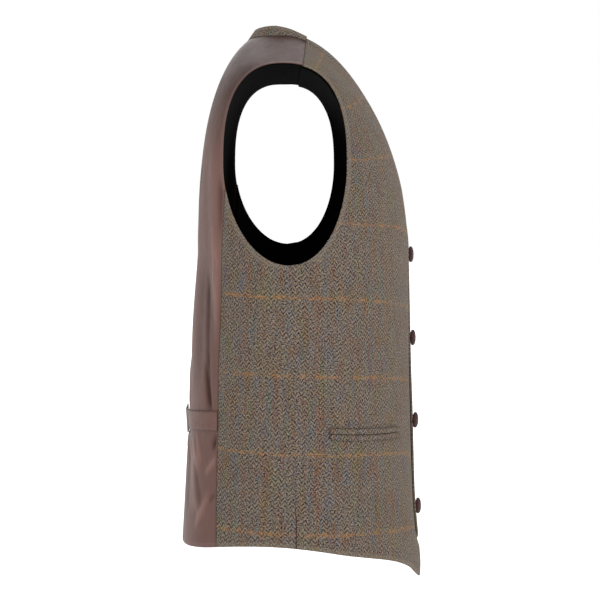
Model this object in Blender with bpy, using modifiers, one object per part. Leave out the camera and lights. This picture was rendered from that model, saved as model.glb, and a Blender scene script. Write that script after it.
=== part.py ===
"""Suit waistcoat in its worn shape, with no wearer inside.

Metres, +Z up. The front faces -Y, so the wearer's right side is at -X and the left side at +X. The origin is
midway between the shoulders, on the line where the wearer's shoulders hold the garment.

Every panel is cut from one worn form: a torso whose level sections are superellipses up to the chest line, and
which closes over the shoulders above it. The outlines of the panels are placed on the form by their real sizes,
and what lies on a panel or behind it is made from that panel's points, moved out or in.
"""
import math

import bpy
import numpy as np
from mathutils import Matrix, Vector


def table(columns, *rows):
    """Rows of numbers as a dictionary with one array for each named column."""
    return dict(zip(columns.split(), np.array(rows, dtype=float).T))


# ---- Driving dimensions -------------------------------------------------------------------------------------

# Cloth
TWEED_WALL = 0.0025
SATIN_WALL = 0.0012
LINING_WALL = 0.0010
SEAM_GAP = 0.0003
LAYER_GAP = 0.0007

# The form below the chest line: its level sections, from the hem up
SECTIONS = table(
    "height half_width front back front_power back_power",
    (-0.660, 0.190, -0.1676, 0.1275, 2.20, 2.50),
    (-0.610, 0.186, -0.1630, 0.1250, 2.15, 2.50),
    (-0.560, 0.179, -0.1584, 0.1220, 2.10, 2.45),
    (-0.500, 0.171, -0.1560, 0.1185, 2.05, 2.40),
    (-0.450, 0.167, -0.1544, 0.1155, 2.05, 2.40),
    (-0.400, 0.168, -0.1522, 0.1125, 2.05, 2.45),
    (-0.320, 0.177, -0.1493, 0.1070, 2.10, 2.50),
    (-0.260, 0.185, -0.1473, 0.1012, 2.10, 2.60),
)
SECTION_CENTRE = -0.015

# The form above the chest line: it closes towards the shoulders' ridge
CHEST_HEIGHT = -0.260
RIDGE_Y = 0.000
RIDGE_NECK_X = 0.0775
RIDGE_NECK_HEIGHT = -0.0145
RIDGE_SLOPE = 0.385
RIDGE_POWER = 5.0
SHOULDER_ARC = 0.360
FRONT_CAP_POWER = 1.765
BACK_CAP_POWER = 2.245

# Front edge, from the hem's point up to the V neck; the lap grows a little on the way down
V_LAP = 0.024
CUTAWAY_LAP = 0.034
CUTAWAY_HEIGHT = -0.590
CUTAWAY_BEND = (-0.027, -0.606)
V_HEIGHT = -0.254
NECKLINE = table(
    "height x",
    (-0.254, -0.0240),
    (-0.236, -0.0115),
    (-0.208, 0.0060),
    (-0.176, 0.0215),
    (-0.144, 0.0345),
    (-0.112, 0.0460),
    (-0.080, 0.0565),
    (-0.050, 0.0660),
    (-0.020, 0.0765),
)
NECK_POINT = (0.0765, -0.0238)
SHOULDER_POINT = (0.1650, -0.0192)
COLLAR_RISE = 0.0045
COLLAR_FADE = 0.070
COLLAR_FORWARD = 0.0011

# Hem: its height round the body, from the point of the front to the centre back
HEM = table(
    "angle height",
    (-71.0, -0.6425),
    (-65.0, -0.6325),
    (-60.0, -0.6220),
    (-54.0, -0.6125),
    (-43.0, -0.5995),
    (-33.0, -0.5912),
    (-22.0, -0.5840),
    (-8.0, -0.5760),
    (8.0, -0.5715),
    (20.0, -0.5718),
    (32.0, -0.5757),
    (50.0, -0.5872),
    (62.0, -0.5950),
    (76.0, -0.6015),
    (90.0, -0.6030),
)

# Armhole: a superellipse seen from the side, squarer over the shoulder than under the arm
ARMHOLE_HEIGHT = -0.1575
ARMHOLE_HALF_HEIGHT = 0.1063
ARMHOLE_HALF_WIDTH = 0.0664
ARMHOLE_TOP_POWER = 2.6
ARMHOLE_LOW_POWER = 2.0
ARMHOLE_LOW_SHIFT = -0.004

# Side seam, from the hem up to the armhole
SIDE_SEAM = table(
    "height y",
    (-0.5780, 0.0768),
    (-0.5220, 0.0767),
    (-0.4460, 0.0748),
    (-0.3820, 0.0736),
    (-0.3120, 0.0698),
    (-0.2360, 0.0675),
    (-0.1880, 0.0640),
)

# Back neck, and the band that stands on it
NECK_HALF_WIDTH = 0.0775
NAPE_Y = 0.0445
NECK_POWER = 2.2
BAND_HEIGHT = 0.0155
BAND_FRONT_HEIGHT = 0.0085
BAND_TAPER = 0.045
BAND_LEAN = math.radians(35.0)
BAND_FOOT_GAP = 0.0005

# Soft folds of the satin back: a ridge or trough runs from its top to its foot, level by level
FOLDS = table(
    "top_angle foot_angle top_height foot_height half_width_angle depth",
    (47.0, 44.0, -0.100, -0.330, 5.0, 0.0022),
    (57.0, 58.0, -0.240, -0.430, 6.0, -0.0020),
    (68.0, 73.0, -0.150, -0.420, 6.0, 0.0018),
    (60.0, 50.0, -0.470, -0.560, 5.0, 0.0018),
    (70.0, 64.0, -0.470, -0.575, 5.0, -0.0018),
)

# Under the waist strap the back is drawn in, most of all at its centre
CINCH_DEPTH = 0.0034
CINCH_FULL_HEIGHT = 0.010
CINCH_NONE_HEIGHT = 0.017
CINCH_FROM_ANGLE = 60.0
CINCH_FULL_ANGLE = 82.0

# Lap of the fronts: the wearer's right front runs in under the left one
TUCK_DEPTH = TWEED_WALL + 0.0013
TUCK_REACH = table(
    "height x",
    (-0.630, -0.0200),
    (-0.616, 0.0040),
    (-0.604, 0.0280),
    (-0.590, 0.0400),
    (-0.254, 0.0300),
)
TUCK_FADE = 0.024
TUCK_FULL_HEIGHT = -0.225
TUCK_NONE_HEIGHT = -0.185

# Columns and rows of the panels' grids
EDGE_ROWS = 15
CUTAWAY_ROWS = 3
LOW_ROWS = CUTAWAY_ROWS + EDGE_ROWS
ARM_ROWS = 14
FRONT_COLUMNS = 12
UNDERARM_COLUMNS = 6
SEAM_COLUMNS = 6
NECK_COLUMNS = 6
NECK_ROWS = 5
NECK_ROW = LOW_ROWS + ARM_ROWS - NECK_ROWS

# Lining: its room behind the panels, and where it starts inside them, in rows and columns of their grids
LINING_GAP = 0.00095
LINING_EDGE_COLUMNS = 3.2
LINING_FRONT_COLUMNS = 6
LINING_HEM_ROWS = 0.7
LINING_ARM_INSET = 0.3
LINING_SEAM_INSET = 0.1
LINING_NECK_INSET = 0.7

# Lower pockets: the slit between two lips, from its front end to its rear end
POCKET_FRONT_Y = -0.1270
POCKET_REAR_Y = -0.0484
POCKET_FRONT_HEIGHT = -0.4603
POCKET_REAR_HEIGHT = -0.4495
POCKET_SLIT = 0.0012
LIP_HEIGHT = 0.0062
LIP_WALL = 0.0014

# Waist strap on the back, and its buckle
STRAP_HEIGHT = 0.0225
STRAP_SEAM_HEIGHT = -0.4405
STRAP_CENTRE_HEIGHT = -0.4640
STRAP_WALL = 0.0010
STRAP_LEFT_END = 0.010
TONGUE_END = 0.058
BUCKLE_WIDTH = 0.031
BUCKLE_HEIGHT = 0.031
BUCKLE_BAR = 0.0026
BUCKLE_WALL = 0.0012
BUCKLE_CORNER = 0.0030

# Buttons: domed, each on a short shank inside the lapped edge, each turned towards the wearer's right
BUTTONS = table(
    "height x turn",
    (-0.2640, -0.0140, 13.0),
    (-0.3635, -0.0185, 14.0),
    (-0.4630, -0.0215, 15.0),
    (-0.5680, -0.0235, 15.0),
)
BUTTON_RADIUS = 0.0095
BUTTON_SHANK_RADIUS = 0.0020
BUTTON_BACK_DEPTH = 0.0022
BUTTON_DOME = 0.0028
BUTTON_LIFT = 0.0007
BUTTON_STEPS = 24

NEWTON_STEPS = 40
NEWTON_LIMIT = 0.1
SLOPE_STEP = 1e-5
OUTLINE_SAMPLES = 61


# ---- Small tools --------------------------------------------------------------------------------------------

def smooth_line(value, places, heights):
    """Cubic through the given rows, each row's slope taken from its neighbours, and level beyond the ends."""
    slopes = np.gradient(heights, places)
    value = np.clip(value, places[0], places[-1])
    row = np.clip(np.searchsorted(places, value, side="right") - 1, 0, len(places) - 2)
    width = places[row + 1] - places[row]
    s = (value - places[row]) / width
    from_row = (2 * s**3 - 3 * s**2 + 1) * heights[row] + (s**3 - 2 * s**2 + s) * width * slopes[row]
    to_row = (3 * s**2 - 2 * s**3) * heights[row + 1] + (s**3 - s**2) * width * slopes[row + 1]
    return from_row + to_row


def ease(value, low, high):
    """0 below `low`, 1 above `high`, and a smooth step between them."""
    s = np.clip((value - low) / (high - low), 0.0, 1.0)
    return s * s * (3 - 2 * s)


def unit(vectors):
    return vectors / np.linalg.norm(vectors, axis=-1, keepdims=True)


# ---- The worn form ------------------------------------------------------------------------------------------

def section(name, height):
    return smooth_line(height, SECTIONS["height"], SECTIONS[name])


def ridge_height(x):
    """Height of the shoulders' ridge: straight slopes outside the neck, and a round between them."""
    x = np.abs(x)
    inside = (RIDGE_NECK_X**2 - np.minimum(x, RIDGE_NECK_X)**2) / (2 * RIDGE_NECK_X)
    outside = np.maximum(x - RIDGE_NECK_X, 0.0)
    return RIDGE_NECK_HEIGHT + RIDGE_SLOPE * (inside - outside)


def form(spots):
    """Points of the worn form at spots (angle, rise).

    The angle runs round the left half of the body, from the centre front at -90 degrees over the side at 0 to
    the centre back at 90. The rise is the height over the chest line, and above that line the length of the arc
    that climbs to the shoulder's ridge and goes on over it.
    """
    angle = spots[..., 0]
    rise = spots[..., 1]
    climb = np.clip(rise / SHOULDER_ARC, 0.0, 2.0) * (math.pi / 2)
    side = np.where(climb > math.pi / 2, -angle, angle)
    is_front = side < 0
    level = CHEST_HEIGHT + np.minimum(rise, 0.0)
    cap_power = FRONT_CAP_POWER + (BACK_CAP_POWER - FRONT_CAP_POWER) * ease(side, -0.5, 0.5)
    lift = np.abs(np.sin(climb))
    close = np.abs(np.cos(climb))
    cap = (lift**cap_power + close**cap_power) ** (1 / cap_power)
    lift = lift / cap
    close = close / cap
    power = np.where(is_front, section("front_power", level), section("back_power", level))
    power = power + (RIDGE_POWER - power) * lift**2
    radius = (np.abs(np.cos(side))**power + np.abs(np.sin(side))**power) ** (1 / power)
    x = section("half_width", level) * np.cos(side) / radius
    reach = np.where(is_front, SECTION_CENTRE - section("front", level), section("back", level) - SECTION_CENTRE)
    centre = SECTION_CENTRE + (RIDGE_Y - SECTION_CENTRE) * lift**2
    y = centre + reach * close * np.sin(side) / radius
    z = level + (ridge_height(x) - CHEST_HEIGHT) * lift
    return np.stack((x, y, z), axis=-1)


def form_normals(spots):
    """Outward directions of the form, from its slopes along the angle and the rise."""
    turn = np.array((SLOPE_STEP, 0.0))
    climb = np.array((0.0, SLOPE_STEP))
    return unit(np.cross(form(spots + turn) - form(spots - turn), form(spots + climb) - form(spots - climb)))


def fold_depth(spots):
    """How far the back's folds stand out, less how far the strap draws the back in.

    Each fold is a bell across and fades to nothing at its two ends. The strap pulls only where it lies.
    """
    angle = np.degrees(spots[..., 0])
    height = CHEST_HEIGHT + spots[..., 1]
    pull = 1 - ease(np.abs(height - STRAP_CENTRE_HEIGHT), CINCH_FULL_HEIGHT, CINCH_NONE_HEIGHT)
    depth = -CINCH_DEPTH * pull * ease(angle, CINCH_FROM_ANGLE, CINCH_FULL_ANGLE)
    for top_angle, foot_angle, top, foot, half_width, most in zip(*FOLDS.values()):
        along = (top - height) / (top - foot)
        centre = top_angle + (foot_angle - top_angle) * along
        fade = ease(along, 0.0, 0.3) * ease(1 - along, 0.0, 0.3)
        depth += most * fade * np.exp(-((angle - centre) / half_width) ** 2)
    return depth


def tuck_depth(points):
    """How far the right front lies in under the left one, given its points mirrored to the left side.

    The tuck is whole as far as its reach at the point's height, and fades out beyond.
    """
    reach = np.interp(points[..., 2], TUCK_REACH["height"], TUCK_REACH["x"])
    near_edge = 1 - ease(points[..., 0] - reach, 0.0, TUCK_FADE)
    below_neck = 1 - ease(points[..., 2], TUCK_FULL_HEIGHT, TUCK_NONE_HEIGHT)
    return TUCK_DEPTH * near_edge * below_neck


def spots_at(wanted, axes, guess):
    """Spots whose points have the wanted coordinates on two axes, by Newton's method."""
    wanted = np.array(wanted, dtype=float)
    spots = np.broadcast_to(np.array(guess, dtype=float), wanted.shape).copy()
    for _ in range(NEWTON_STEPS):
        here = form(spots)[:, axes]
        by_angle = (form(spots + (SLOPE_STEP, 0.0))[:, axes] - here) / SLOPE_STEP
        by_rise = (form(spots + (0.0, SLOPE_STEP))[:, axes] - here) / SLOPE_STEP
        slopes = np.stack((by_angle, by_rise), axis=-1)
        change = np.linalg.solve(slopes, (wanted - here)[..., None])[..., 0]
        spots += np.clip(change, -NEWTON_LIMIT, NEWTON_LIMIT)
    return spots


# ---- Outlines of the panels ---------------------------------------------------------------------------------

def even(spots, segments):
    """The same line of spots, cut into segments of equal length in space."""
    lengths = np.linalg.norm(np.diff(form(spots), axis=0), axis=1)
    run = np.concatenate(((0.0,), np.cumsum(lengths)))
    places = np.linspace(0.0, run[-1], segments + 1)
    return np.stack((np.interp(places, run, spots[:, 0]), np.interp(places, run, spots[:, 1])), axis=-1)


def joined(spots, start, end):
    """The same line, slid so that it begins at `start` and ends at `end`."""
    s = np.linspace(0.0, 1.0, len(spots))[:, None]
    return spots + (1 - s) * (start - spots[0]) + s * (end - spots[-1])


def hem_line(from_angle, to_angle, segments):
    angles = np.radians(np.linspace(from_angle, to_angle, OUTLINE_SAMPLES))
    heights = smooth_line(np.degrees(angles), HEM["angle"], HEM["height"])
    return even(np.stack((angles, heights - CHEST_HEIGHT), axis=-1), segments)


def armhole_side_view(turn):
    """Armhole points (y, z): `turn` is 90 degrees over the shoulder, -90 under the arm, 180 at the front."""
    power = np.where(np.sin(turn) > 0, ARMHOLE_TOP_POWER, ARMHOLE_LOW_POWER)
    radius = (np.abs(np.cos(turn))**power + np.abs(np.sin(turn))**power) ** (1 / power)
    up = np.sin(turn) / radius
    y = ARMHOLE_HALF_WIDTH * np.cos(turn) / radius + ARMHOLE_LOW_SHIFT * np.minimum(up, 0.0)**2
    return np.stack((y, ARMHOLE_HEIGHT + ARMHOLE_HALF_HEIGHT * up), axis=-1)


def rise_guess(height):
    """Rough rise of a point by its height: on the ridge at the shoulder, on the chest line at the armpit."""
    climb = np.arcsin(np.clip((height - CHEST_HEIGHT) / (RIDGE_NECK_HEIGHT - CHEST_HEIGHT), 0.0, 0.98))
    return np.where(height < CHEST_HEIGHT, height - CHEST_HEIGHT, climb * SHOULDER_ARC / (math.pi / 2))


def turn_at(y, from_degrees, to_degrees):
    """Turn along the armhole, between two turns, at which its y is the given one."""
    turns = np.radians(np.linspace(from_degrees, to_degrees, OUTLINE_SAMPLES))
    places = armhole_side_view(turns)[:, 0]
    order = np.argsort(places)
    return float(np.interp(y, places[order], turns[order]))


def armhole_line(from_turn, to_turn, angle_guess, over_shoulder, start, end, segments):
    """Stretch of the armhole; `over_shoulder` measures its rise on over the ridge, from the back."""
    side_view = armhole_side_view(np.linspace(from_turn, to_turn, OUTLINE_SAMPLES))
    rise = rise_guess(side_view[:, 1])
    ahead = over_shoulder & (side_view[:, 0] < RIDGE_Y)
    guess = np.stack((np.full(len(rise), angle_guess), np.where(ahead, 2 * SHOULDER_ARC - rise, rise)), axis=-1)
    return even(joined(spots_at(side_view, (1, 2), guess), start, end), segments)


def straight(start, end):
    s = np.linspace(0.0, 1.0, OUTLINE_SAMPLES)[:, None]
    return (1 - s) * np.array(start) + s * np.array(end)


def patch(left, right, bottom, top):
    """Grid of spots between four lines: the two ruled grids, less the one that both hold."""
    s = np.linspace(0.0, 1.0, len(bottom))[None, :, None]
    t = np.linspace(0.0, 1.0, len(left))[:, None, None]
    across = (1 - s) * left[:, None] + s * right[:, None]
    upward = (1 - t) * bottom[None] + t * top[None]
    low_corners = (1 - s) * bottom[0] + s * bottom[-1]
    high_corners = (1 - s) * top[0] + s * top[-1]
    return across + upward - (1 - t) * low_corners - t * high_corners


def front_spots():
    """Grid of the left front, from the front edge to the side seam; above the armpit it stops at the armhole."""
    tip = np.array((math.radians(HEM["angle"][0]), HEM["height"][0] - CHEST_HEIGHT))
    neck = spots_at([NECK_POINT], (0, 1), (-1.1, 0.9 * SHOULDER_ARC))[0]
    shoulder = spots_at([SHOULDER_POINT], (0, 1), (-0.5, 0.9 * SHOULDER_ARC))[0]
    armpit_turn = -math.pi / 2
    armpit = spots_at(armhole_side_view(np.array([armpit_turn])), (1, 2), (0.1, 0.0))[0]
    seam_foot_y = SIDE_SEAM["y"][0]
    seam_foot = seam_line_foot(seam_foot_y)

    s = np.linspace(0.0, 1.0, OUTLINE_SAMPLES)[:, None]
    tip_point = form(tip)[[0, 2]]
    bend = np.array(CUTAWAY_BEND)
    cut_top = np.array((-CUTAWAY_LAP, CUTAWAY_HEIGHT))
    cutaway = (1 - s)**2 * tip_point + 2 * s * (1 - s) * bend + s**2 * cut_top
    cutaway = spots_at(cutaway, (0, 2), np.stack((np.full(len(s), -1.5), cutaway[:, 1] - CHEST_HEIGHT), axis=-1))
    edge = straight(cut_top, (-V_LAP, V_HEIGHT))
    edge = spots_at(edge, (0, 2), np.stack((np.full(len(s), -1.7), edge[:, 1] - CHEST_HEIGHT), axis=-1))
    heights = np.linspace(V_HEIGHT, NECKLINE["height"][-1], OUTLINE_SAMPLES)
    neckline = np.stack((smooth_line(heights, NECKLINE["height"], NECKLINE["x"]), heights), axis=-1)
    neckline = spots_at(neckline, (0, 2), np.stack((np.full(len(s), -1.4), rise_guess(heights)), axis=-1))
    left = np.concatenate((
        even(joined(cutaway, tip, edge[0]), CUTAWAY_ROWS),
        even(edge, EDGE_ROWS)[1:],
        even(joined(neckline, edge[-1], neck), ARM_ROWS)[1:],
    ))

    underarm_foot = underarm_line_foot(armpit)
    underarm = even(np.linspace(underarm_foot, armpit, OUTLINE_SAMPLES), LOW_ROWS)
    top_turn = turn_at(SHOULDER_POINT[1], 90.0, 150.0)
    front_arm = armhole_line(-math.pi / 2, top_turn - 2 * math.pi, -0.6, False, armpit, shoulder, ARM_ROWS)
    seam_top_turn = turn_at(SIDE_SEAM["y"][-1], -60.0, -5.0)
    seam_top = spots_at(armhole_side_view(np.array([seam_top_turn])), (1, 2), (0.6, 0.06))[0]
    seam = side_seam_line(seam_foot, seam_top)
    low_arm = armhole_line(-math.pi / 2, seam_top_turn, 0.4, False, armpit, seam_top, UNDERARM_COLUMNS)
    shoulder_seam = spots_at(straight(NECK_POINT, SHOULDER_POINT), (0, 1), np.linspace(neck, shoulder, len(s)))

    tip_angle = HEM["angle"][0]
    foot_angle = math.degrees(underarm_foot[0])
    seam_angle = math.degrees(seam_foot[0])
    main = patch(
        left,
        np.concatenate((underarm, front_arm[1:])),
        hem_line(tip_angle, foot_angle, FRONT_COLUMNS),
        even(shoulder_seam, FRONT_COLUMNS),
    )
    under = patch(underarm, seam, hem_line(foot_angle, seam_angle, UNDERARM_COLUMNS), low_arm)
    grid = np.full((LOW_ROWS + ARM_ROWS + 1, FRONT_COLUMNS + UNDERARM_COLUMNS + 1, 2), np.nan)
    grid[:, :FRONT_COLUMNS + 1] = main
    grid[:LOW_ROWS + 1, FRONT_COLUMNS:] = under
    return grid


def hem_foot(angles, y):
    """Spot on the hem, among the given angles in degrees, whose point has the given y."""
    spots = np.stack((np.radians(angles), smooth_line(angles, HEM["angle"], HEM["height"]) - CHEST_HEIGHT), axis=-1)
    places = form(spots)[:, 1]
    return np.array((np.interp(y, places, spots[:, 0]), np.interp(y, places, spots[:, 1])))


def seam_line_foot(y):
    return hem_foot(np.linspace(20.0, 60.0, OUTLINE_SAMPLES), y)


def underarm_line_foot(armpit):
    return hem_foot(np.linspace(-20.0, 20.0, OUTLINE_SAMPLES), form(armpit)[1])


def side_seam_line(foot, top):
    """Side seam from the hem to the armhole, through the rows of its table."""
    heights = np.linspace(SIDE_SEAM["height"][0], SIDE_SEAM["height"][-1], OUTLINE_SAMPLES)
    side_view = np.stack((smooth_line(heights, SIDE_SEAM["height"], SIDE_SEAM["y"]), heights), axis=-1)
    guess = np.stack((np.full(len(heights), 0.6), rise_guess(heights)), axis=-1)
    return even(joined(spots_at(side_view, (1, 2), guess), foot, top), LOW_ROWS)


def neck_curve(samples):
    """Back neck from the shoulder seam to the nape (x, y): straight to the ridge, then a quarter superellipse."""
    ahead = np.linspace(NECK_POINT, (NECK_HALF_WIDTH, RIDGE_Y), samples)[:-1]
    turn = np.linspace(0.0, math.pi / 2, samples)
    x = NECK_HALF_WIDTH * np.abs(np.cos(turn)) ** (2 / NECK_POWER)
    y = RIDGE_Y + (NAPE_Y - RIDGE_Y) * np.sin(turn) ** (2 / NECK_POWER)
    return np.concatenate((ahead, np.stack((x, y), axis=-1)))


def back_spots():
    """Grid of the left back, from the side seam to the centre back seam.

    Its top is the shoulder seam, and the neck takes a corner out of it: side rows first, then back columns.
    """
    seam_foot = seam_line_foot(SIDE_SEAM["y"][0])
    seam_top_turn = turn_at(SIDE_SEAM["y"][-1], -60.0, -5.0)
    seam_top = spots_at(armhole_side_view(np.array([seam_top_turn])), (1, 2), (0.6, 0.06))[0]
    shoulder = spots_at([SHOULDER_POINT], (0, 1), (0.5, 1.1 * SHOULDER_ARC))[0]
    neck = spots_at([NECK_POINT], (0, 1), (1.1, 1.1 * SHOULDER_ARC))[0]
    top_turn = turn_at(SHOULDER_POINT[1], 90.0, 150.0)
    arm = armhole_line(seam_top_turn, top_turn, 0.5, True, seam_top, shoulder, ARM_ROWS)
    shoulder_seam = spots_at(
        straight(SHOULDER_POINT, NECK_POINT), (0, 1), np.linspace(shoulder, neck, OUTLINE_SAMPLES))
    plan = neck_curve(OUTLINE_SAMPLES)
    climb = np.linspace(neck, (math.pi / 2, 0.85 * SHOULDER_ARC), len(plan))
    neck_line = joined(spots_at(plan[:-1], (0, 1), climb[:-1]), neck, spots_at(plan[-2:-1], (0, 1), climb[-2:-1])[0])
    nape_rise = spots_at([(1e-4, NAPE_Y)], (0, 1), (1.5, 0.85 * SHOULDER_ARC))[0, 1]
    nape = np.array((math.pi / 2, nape_rise))
    neck_line = even(np.concatenate((neck_line, nape[None])), NECK_ROWS + NECK_COLUMNS)
    centre_foot = np.array((math.pi / 2, HEM["height"][-1] - CHEST_HEIGHT))
    hem = hem_line(math.degrees(seam_foot[0]), 90.0, SEAM_COLUMNS + NECK_COLUMNS)
    middle = even(np.linspace(hem[SEAM_COLUMNS], neck_line[NECK_ROWS], OUTLINE_SAMPLES), NECK_ROW)
    outer = patch(
        np.concatenate((side_seam_line(seam_foot, seam_top), arm[1:])),
        np.concatenate((middle, neck_line[NECK_ROWS - 1::-1])),
        hem[:SEAM_COLUMNS + 1],
        even(shoulder_seam, SEAM_COLUMNS),
    )
    centre = even(np.linspace(centre_foot, nape, OUTLINE_SAMPLES), NECK_ROW)
    grid = np.full((NECK_ROW + NECK_ROWS + 1, SEAM_COLUMNS + NECK_COLUMNS + 1, 2), np.nan)
    grid[:, :SEAM_COLUMNS + 1] = outer
    grid[:NECK_ROW + 1, SEAM_COLUMNS:] = patch(middle, centre, hem[SEAM_COLUMNS:], neck_line[NECK_ROWS:])
    return grid


# ---- Cloth --------------------------------------------------------------------------------------------------

def raise_collar(points, normals):
    """Stand the front's neck edge up against the neck near the shoulder, where the neck band meets it."""
    fade = 1 - ease(NECKLINE["height"][-1] - points[:, 0, 2], 0.0, COLLAR_FADE)
    rise = np.array((-COLLAR_RISE * math.sin(BAND_LEAN), -COLLAR_FORWARD, COLLAR_RISE * math.cos(BAND_LEAN)))
    facing = np.array((math.cos(BAND_LEAN), 0.0, math.sin(BAND_LEAN)))
    points[:, 0] += fade[:, None] * rise
    normals[:, 0] = unit(normals[:, 0] * (1 - fade[:, None]) + facing * fade[:, None])


def sample(grid, rows, columns):
    """Values of a grid between its rows and columns, mixed from the four nearest."""
    rows = np.asarray(rows, dtype=float)
    columns = np.asarray(columns, dtype=float)
    row = np.clip(np.floor(rows).astype(int), 0, grid.shape[0] - 2)
    column = np.clip(np.floor(columns).astype(int), 0, grid.shape[1] - 2)
    t = (rows - row)[..., None]
    s = (columns - column)[..., None]
    low = np.where(s > 0, (1 - s) * grid[row, column] + s * grid[row, column + 1], grid[row, column])
    high = np.where(s > 0, (1 - s) * grid[row + 1, column] + s * grid[row + 1, column + 1], grid[row + 1, column])
    return np.where(t > 0, (1 - t) * low + t * high, low)


def cells(points):
    """Quads of a grid whose four points all exist, each turned outwards, as indices into the flat grid."""
    rows, columns = points.shape[:2]
    index = np.arange(rows * columns).reshape(rows, columns)
    quads = np.stack((index[:-1, :-1], index[:-1, 1:], index[1:, 1:], index[1:, :-1]), axis=-1).reshape(-1, 4)
    exists = np.isfinite(points.reshape(-1, 3)[:, 0])
    return quads[exists[quads].all(axis=1)]


def rim_of(quads):
    """Directed edges that only one quad has, in that quad's direction."""
    edges = np.concatenate([quads[:, (k, (k + 1) % 4)] for k in range(4)])
    known = set(map(tuple, edges.tolist()))
    return np.array([edge for edge in edges.tolist() if (edge[1], edge[0]) not in known])


def drawn_in(points, quads, margin):
    """The points, with those on the rim moved into the cloth by the margin, at right angles to the rim."""
    flat = points.reshape(-1, 3).copy()
    following = {start: end for start, end in rim_of(quads).tolist()}
    leading = {end: start for start, end in following.items()}
    middles = flat[quads].mean(axis=1)
    moved = flat.copy()
    for spot in following:
        tangent = unit(flat[following[spot]] - flat[leading[spot]])
        inward = middles[(quads == spot).any(axis=1)].mean(axis=0) - flat[spot]
        inward -= tangent * np.dot(inward, tangent)
        moved[spot] += margin * unit(inward)
    return moved


def add_mesh(name, points, faces, material):
    """Mesh object with smooth shading and creases at its sharp edges; points that no face uses are left out."""
    used, renumbered = np.unique(np.concatenate([np.ravel(face) for face in faces]), return_inverse=True)
    corners = iter(renumbered.tolist())
    mesh = bpy.data.meshes.new(name)
    mesh.from_pydata(points[used].tolist(), [], [[next(corners) for _ in face] for face in faces])
    return add_object(name, mesh, material)


def add_object(name, data, material):
    piece = bpy.data.objects.new(name, data)
    garment.objects.link(piece)
    data.materials.append(material)
    if piece.type == "MESH":
        data.shade_smooth()
        data.set_sharp_from_angle(angle=math.radians(40.0))
    return piece


def cloth_wall(name, points, normals, material, wall, lift=0.0, mirrored=False, gap=SEAM_GAP):
    """Closed wall of cloth on a grid of points.

    Its outer face lies `lift` outside the points and its inner face a wall further in, both along the normals,
    and a rim joins them. Half the gap is left along the whole rim. The right side's pieces are mirrored ones.
    """
    quads = cells(points)
    outline = drawn_in(points, quads, gap / 2)
    outward = normals.reshape(-1, 3)
    outer = outline + outward * lift
    inner = outline + outward * (lift - wall)
    count = len(outer)
    rim = rim_of(quads)
    rim_faces = np.stack((rim[:, 1], rim[:, 0], rim[:, 0] + count, rim[:, 1] + count), axis=-1)
    faces = np.concatenate((quads, quads[:, ::-1] + count, rim_faces))
    both = np.concatenate((outer, inner))
    if mirrored:
        both = both * (-1, 1, 1)
        faces = faces[:, ::-1]
    return add_mesh(name, both, faces.tolist(), material)


def make_panels():
    """Points and normals of the panels' outer faces, all on the left side: fronts, backs and the tucked front."""
    fronts = front_spots()
    backs = back_spots()
    front_points = form(fronts)
    front_normals = form_normals(fronts)
    raise_collar(front_points, front_normals)
    tucked_points = front_points - front_normals * tuck_depth(front_points)[..., None]
    back_normals = form_normals(backs)
    back_points = form(backs) + back_normals * fold_depth(backs)[..., None]
    return {
        "front_left": (front_points, front_normals),
        "front_right": (tucked_points, front_normals),
        "back": (back_points, back_normals),
    }


def make_outer_cloth(panels):
    for side, mirrored in (("left", False), ("right", True)):
        points, normals = panels["front_" + side]
        cloth_wall("front_" + side, points, normals, tweed, TWEED_WALL, mirrored=mirrored)
        points, normals = panels["back"]
        cloth_wall("back_" + side, points, normals, satin, SATIN_WALL, mirrored=mirrored)


def lining_front_places():
    """Rows and columns of the front lining on the front's grid, clear of the lapped edge, and the missing ones.

    It has every second row below the armpit, and every row above it.
    """
    main = np.linspace(LINING_EDGE_COLUMNS, FRONT_COLUMNS, LINING_FRONT_COLUMNS)
    under = np.arange(FRONT_COLUMNS + 1.0, FRONT_COLUMNS + UNDERARM_COLUMNS + 1)
    lines = np.concatenate((np.arange(0.0, LOW_ROWS, 2), np.arange(LOW_ROWS, LOW_ROWS + ARM_ROWS + 1.0)))
    columns, rows = np.meshgrid(np.concatenate((main, under)), lines)
    at_arm = len(main) - 1
    low = rows <= LOW_ROWS
    missing = ~low & (np.arange(columns.shape[1]) > at_arm)
    columns[:, at_arm] = np.where(low[:, at_arm], FRONT_COLUMNS, FRONT_COLUMNS - LINING_ARM_INSET)
    rows[:, at_arm:] = np.where(rows[:, at_arm:] == LOW_ROWS, LOW_ROWS - LINING_ARM_INSET, rows[:, at_arm:])
    rows = np.where(rows == 0.0, LINING_HEM_ROWS, rows)
    return np.where(missing, 0.0, rows), np.where(missing, 0.0, columns), missing


def lining_back_places():
    """Rows and columns of the back lining on the back's grid, clear of the armhole, the hem and the neck band."""
    columns, rows = np.meshgrid(np.arange(SEAM_COLUMNS + NECK_COLUMNS + 1.0), np.arange(LOW_ROWS + ARM_ROWS + 1.0))
    missing = (rows > NECK_ROW) & (columns > SEAM_COLUMNS)
    neck_side = (rows >= NECK_ROW) & (columns == SEAM_COLUMNS)
    neck_back = (rows == NECK_ROW) & (columns >= SEAM_COLUMNS)
    columns[:, 0] = np.where(rows[:, 0] > LOW_ROWS, LINING_ARM_INSET, LINING_SEAM_INSET)
    columns[neck_side] -= LINING_NECK_INSET
    rows[neck_back] -= LINING_NECK_INSET
    rows[0] = LINING_HEM_ROWS
    return np.where(missing, 0.0, rows), np.where(missing, 0.0, columns), missing


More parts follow.
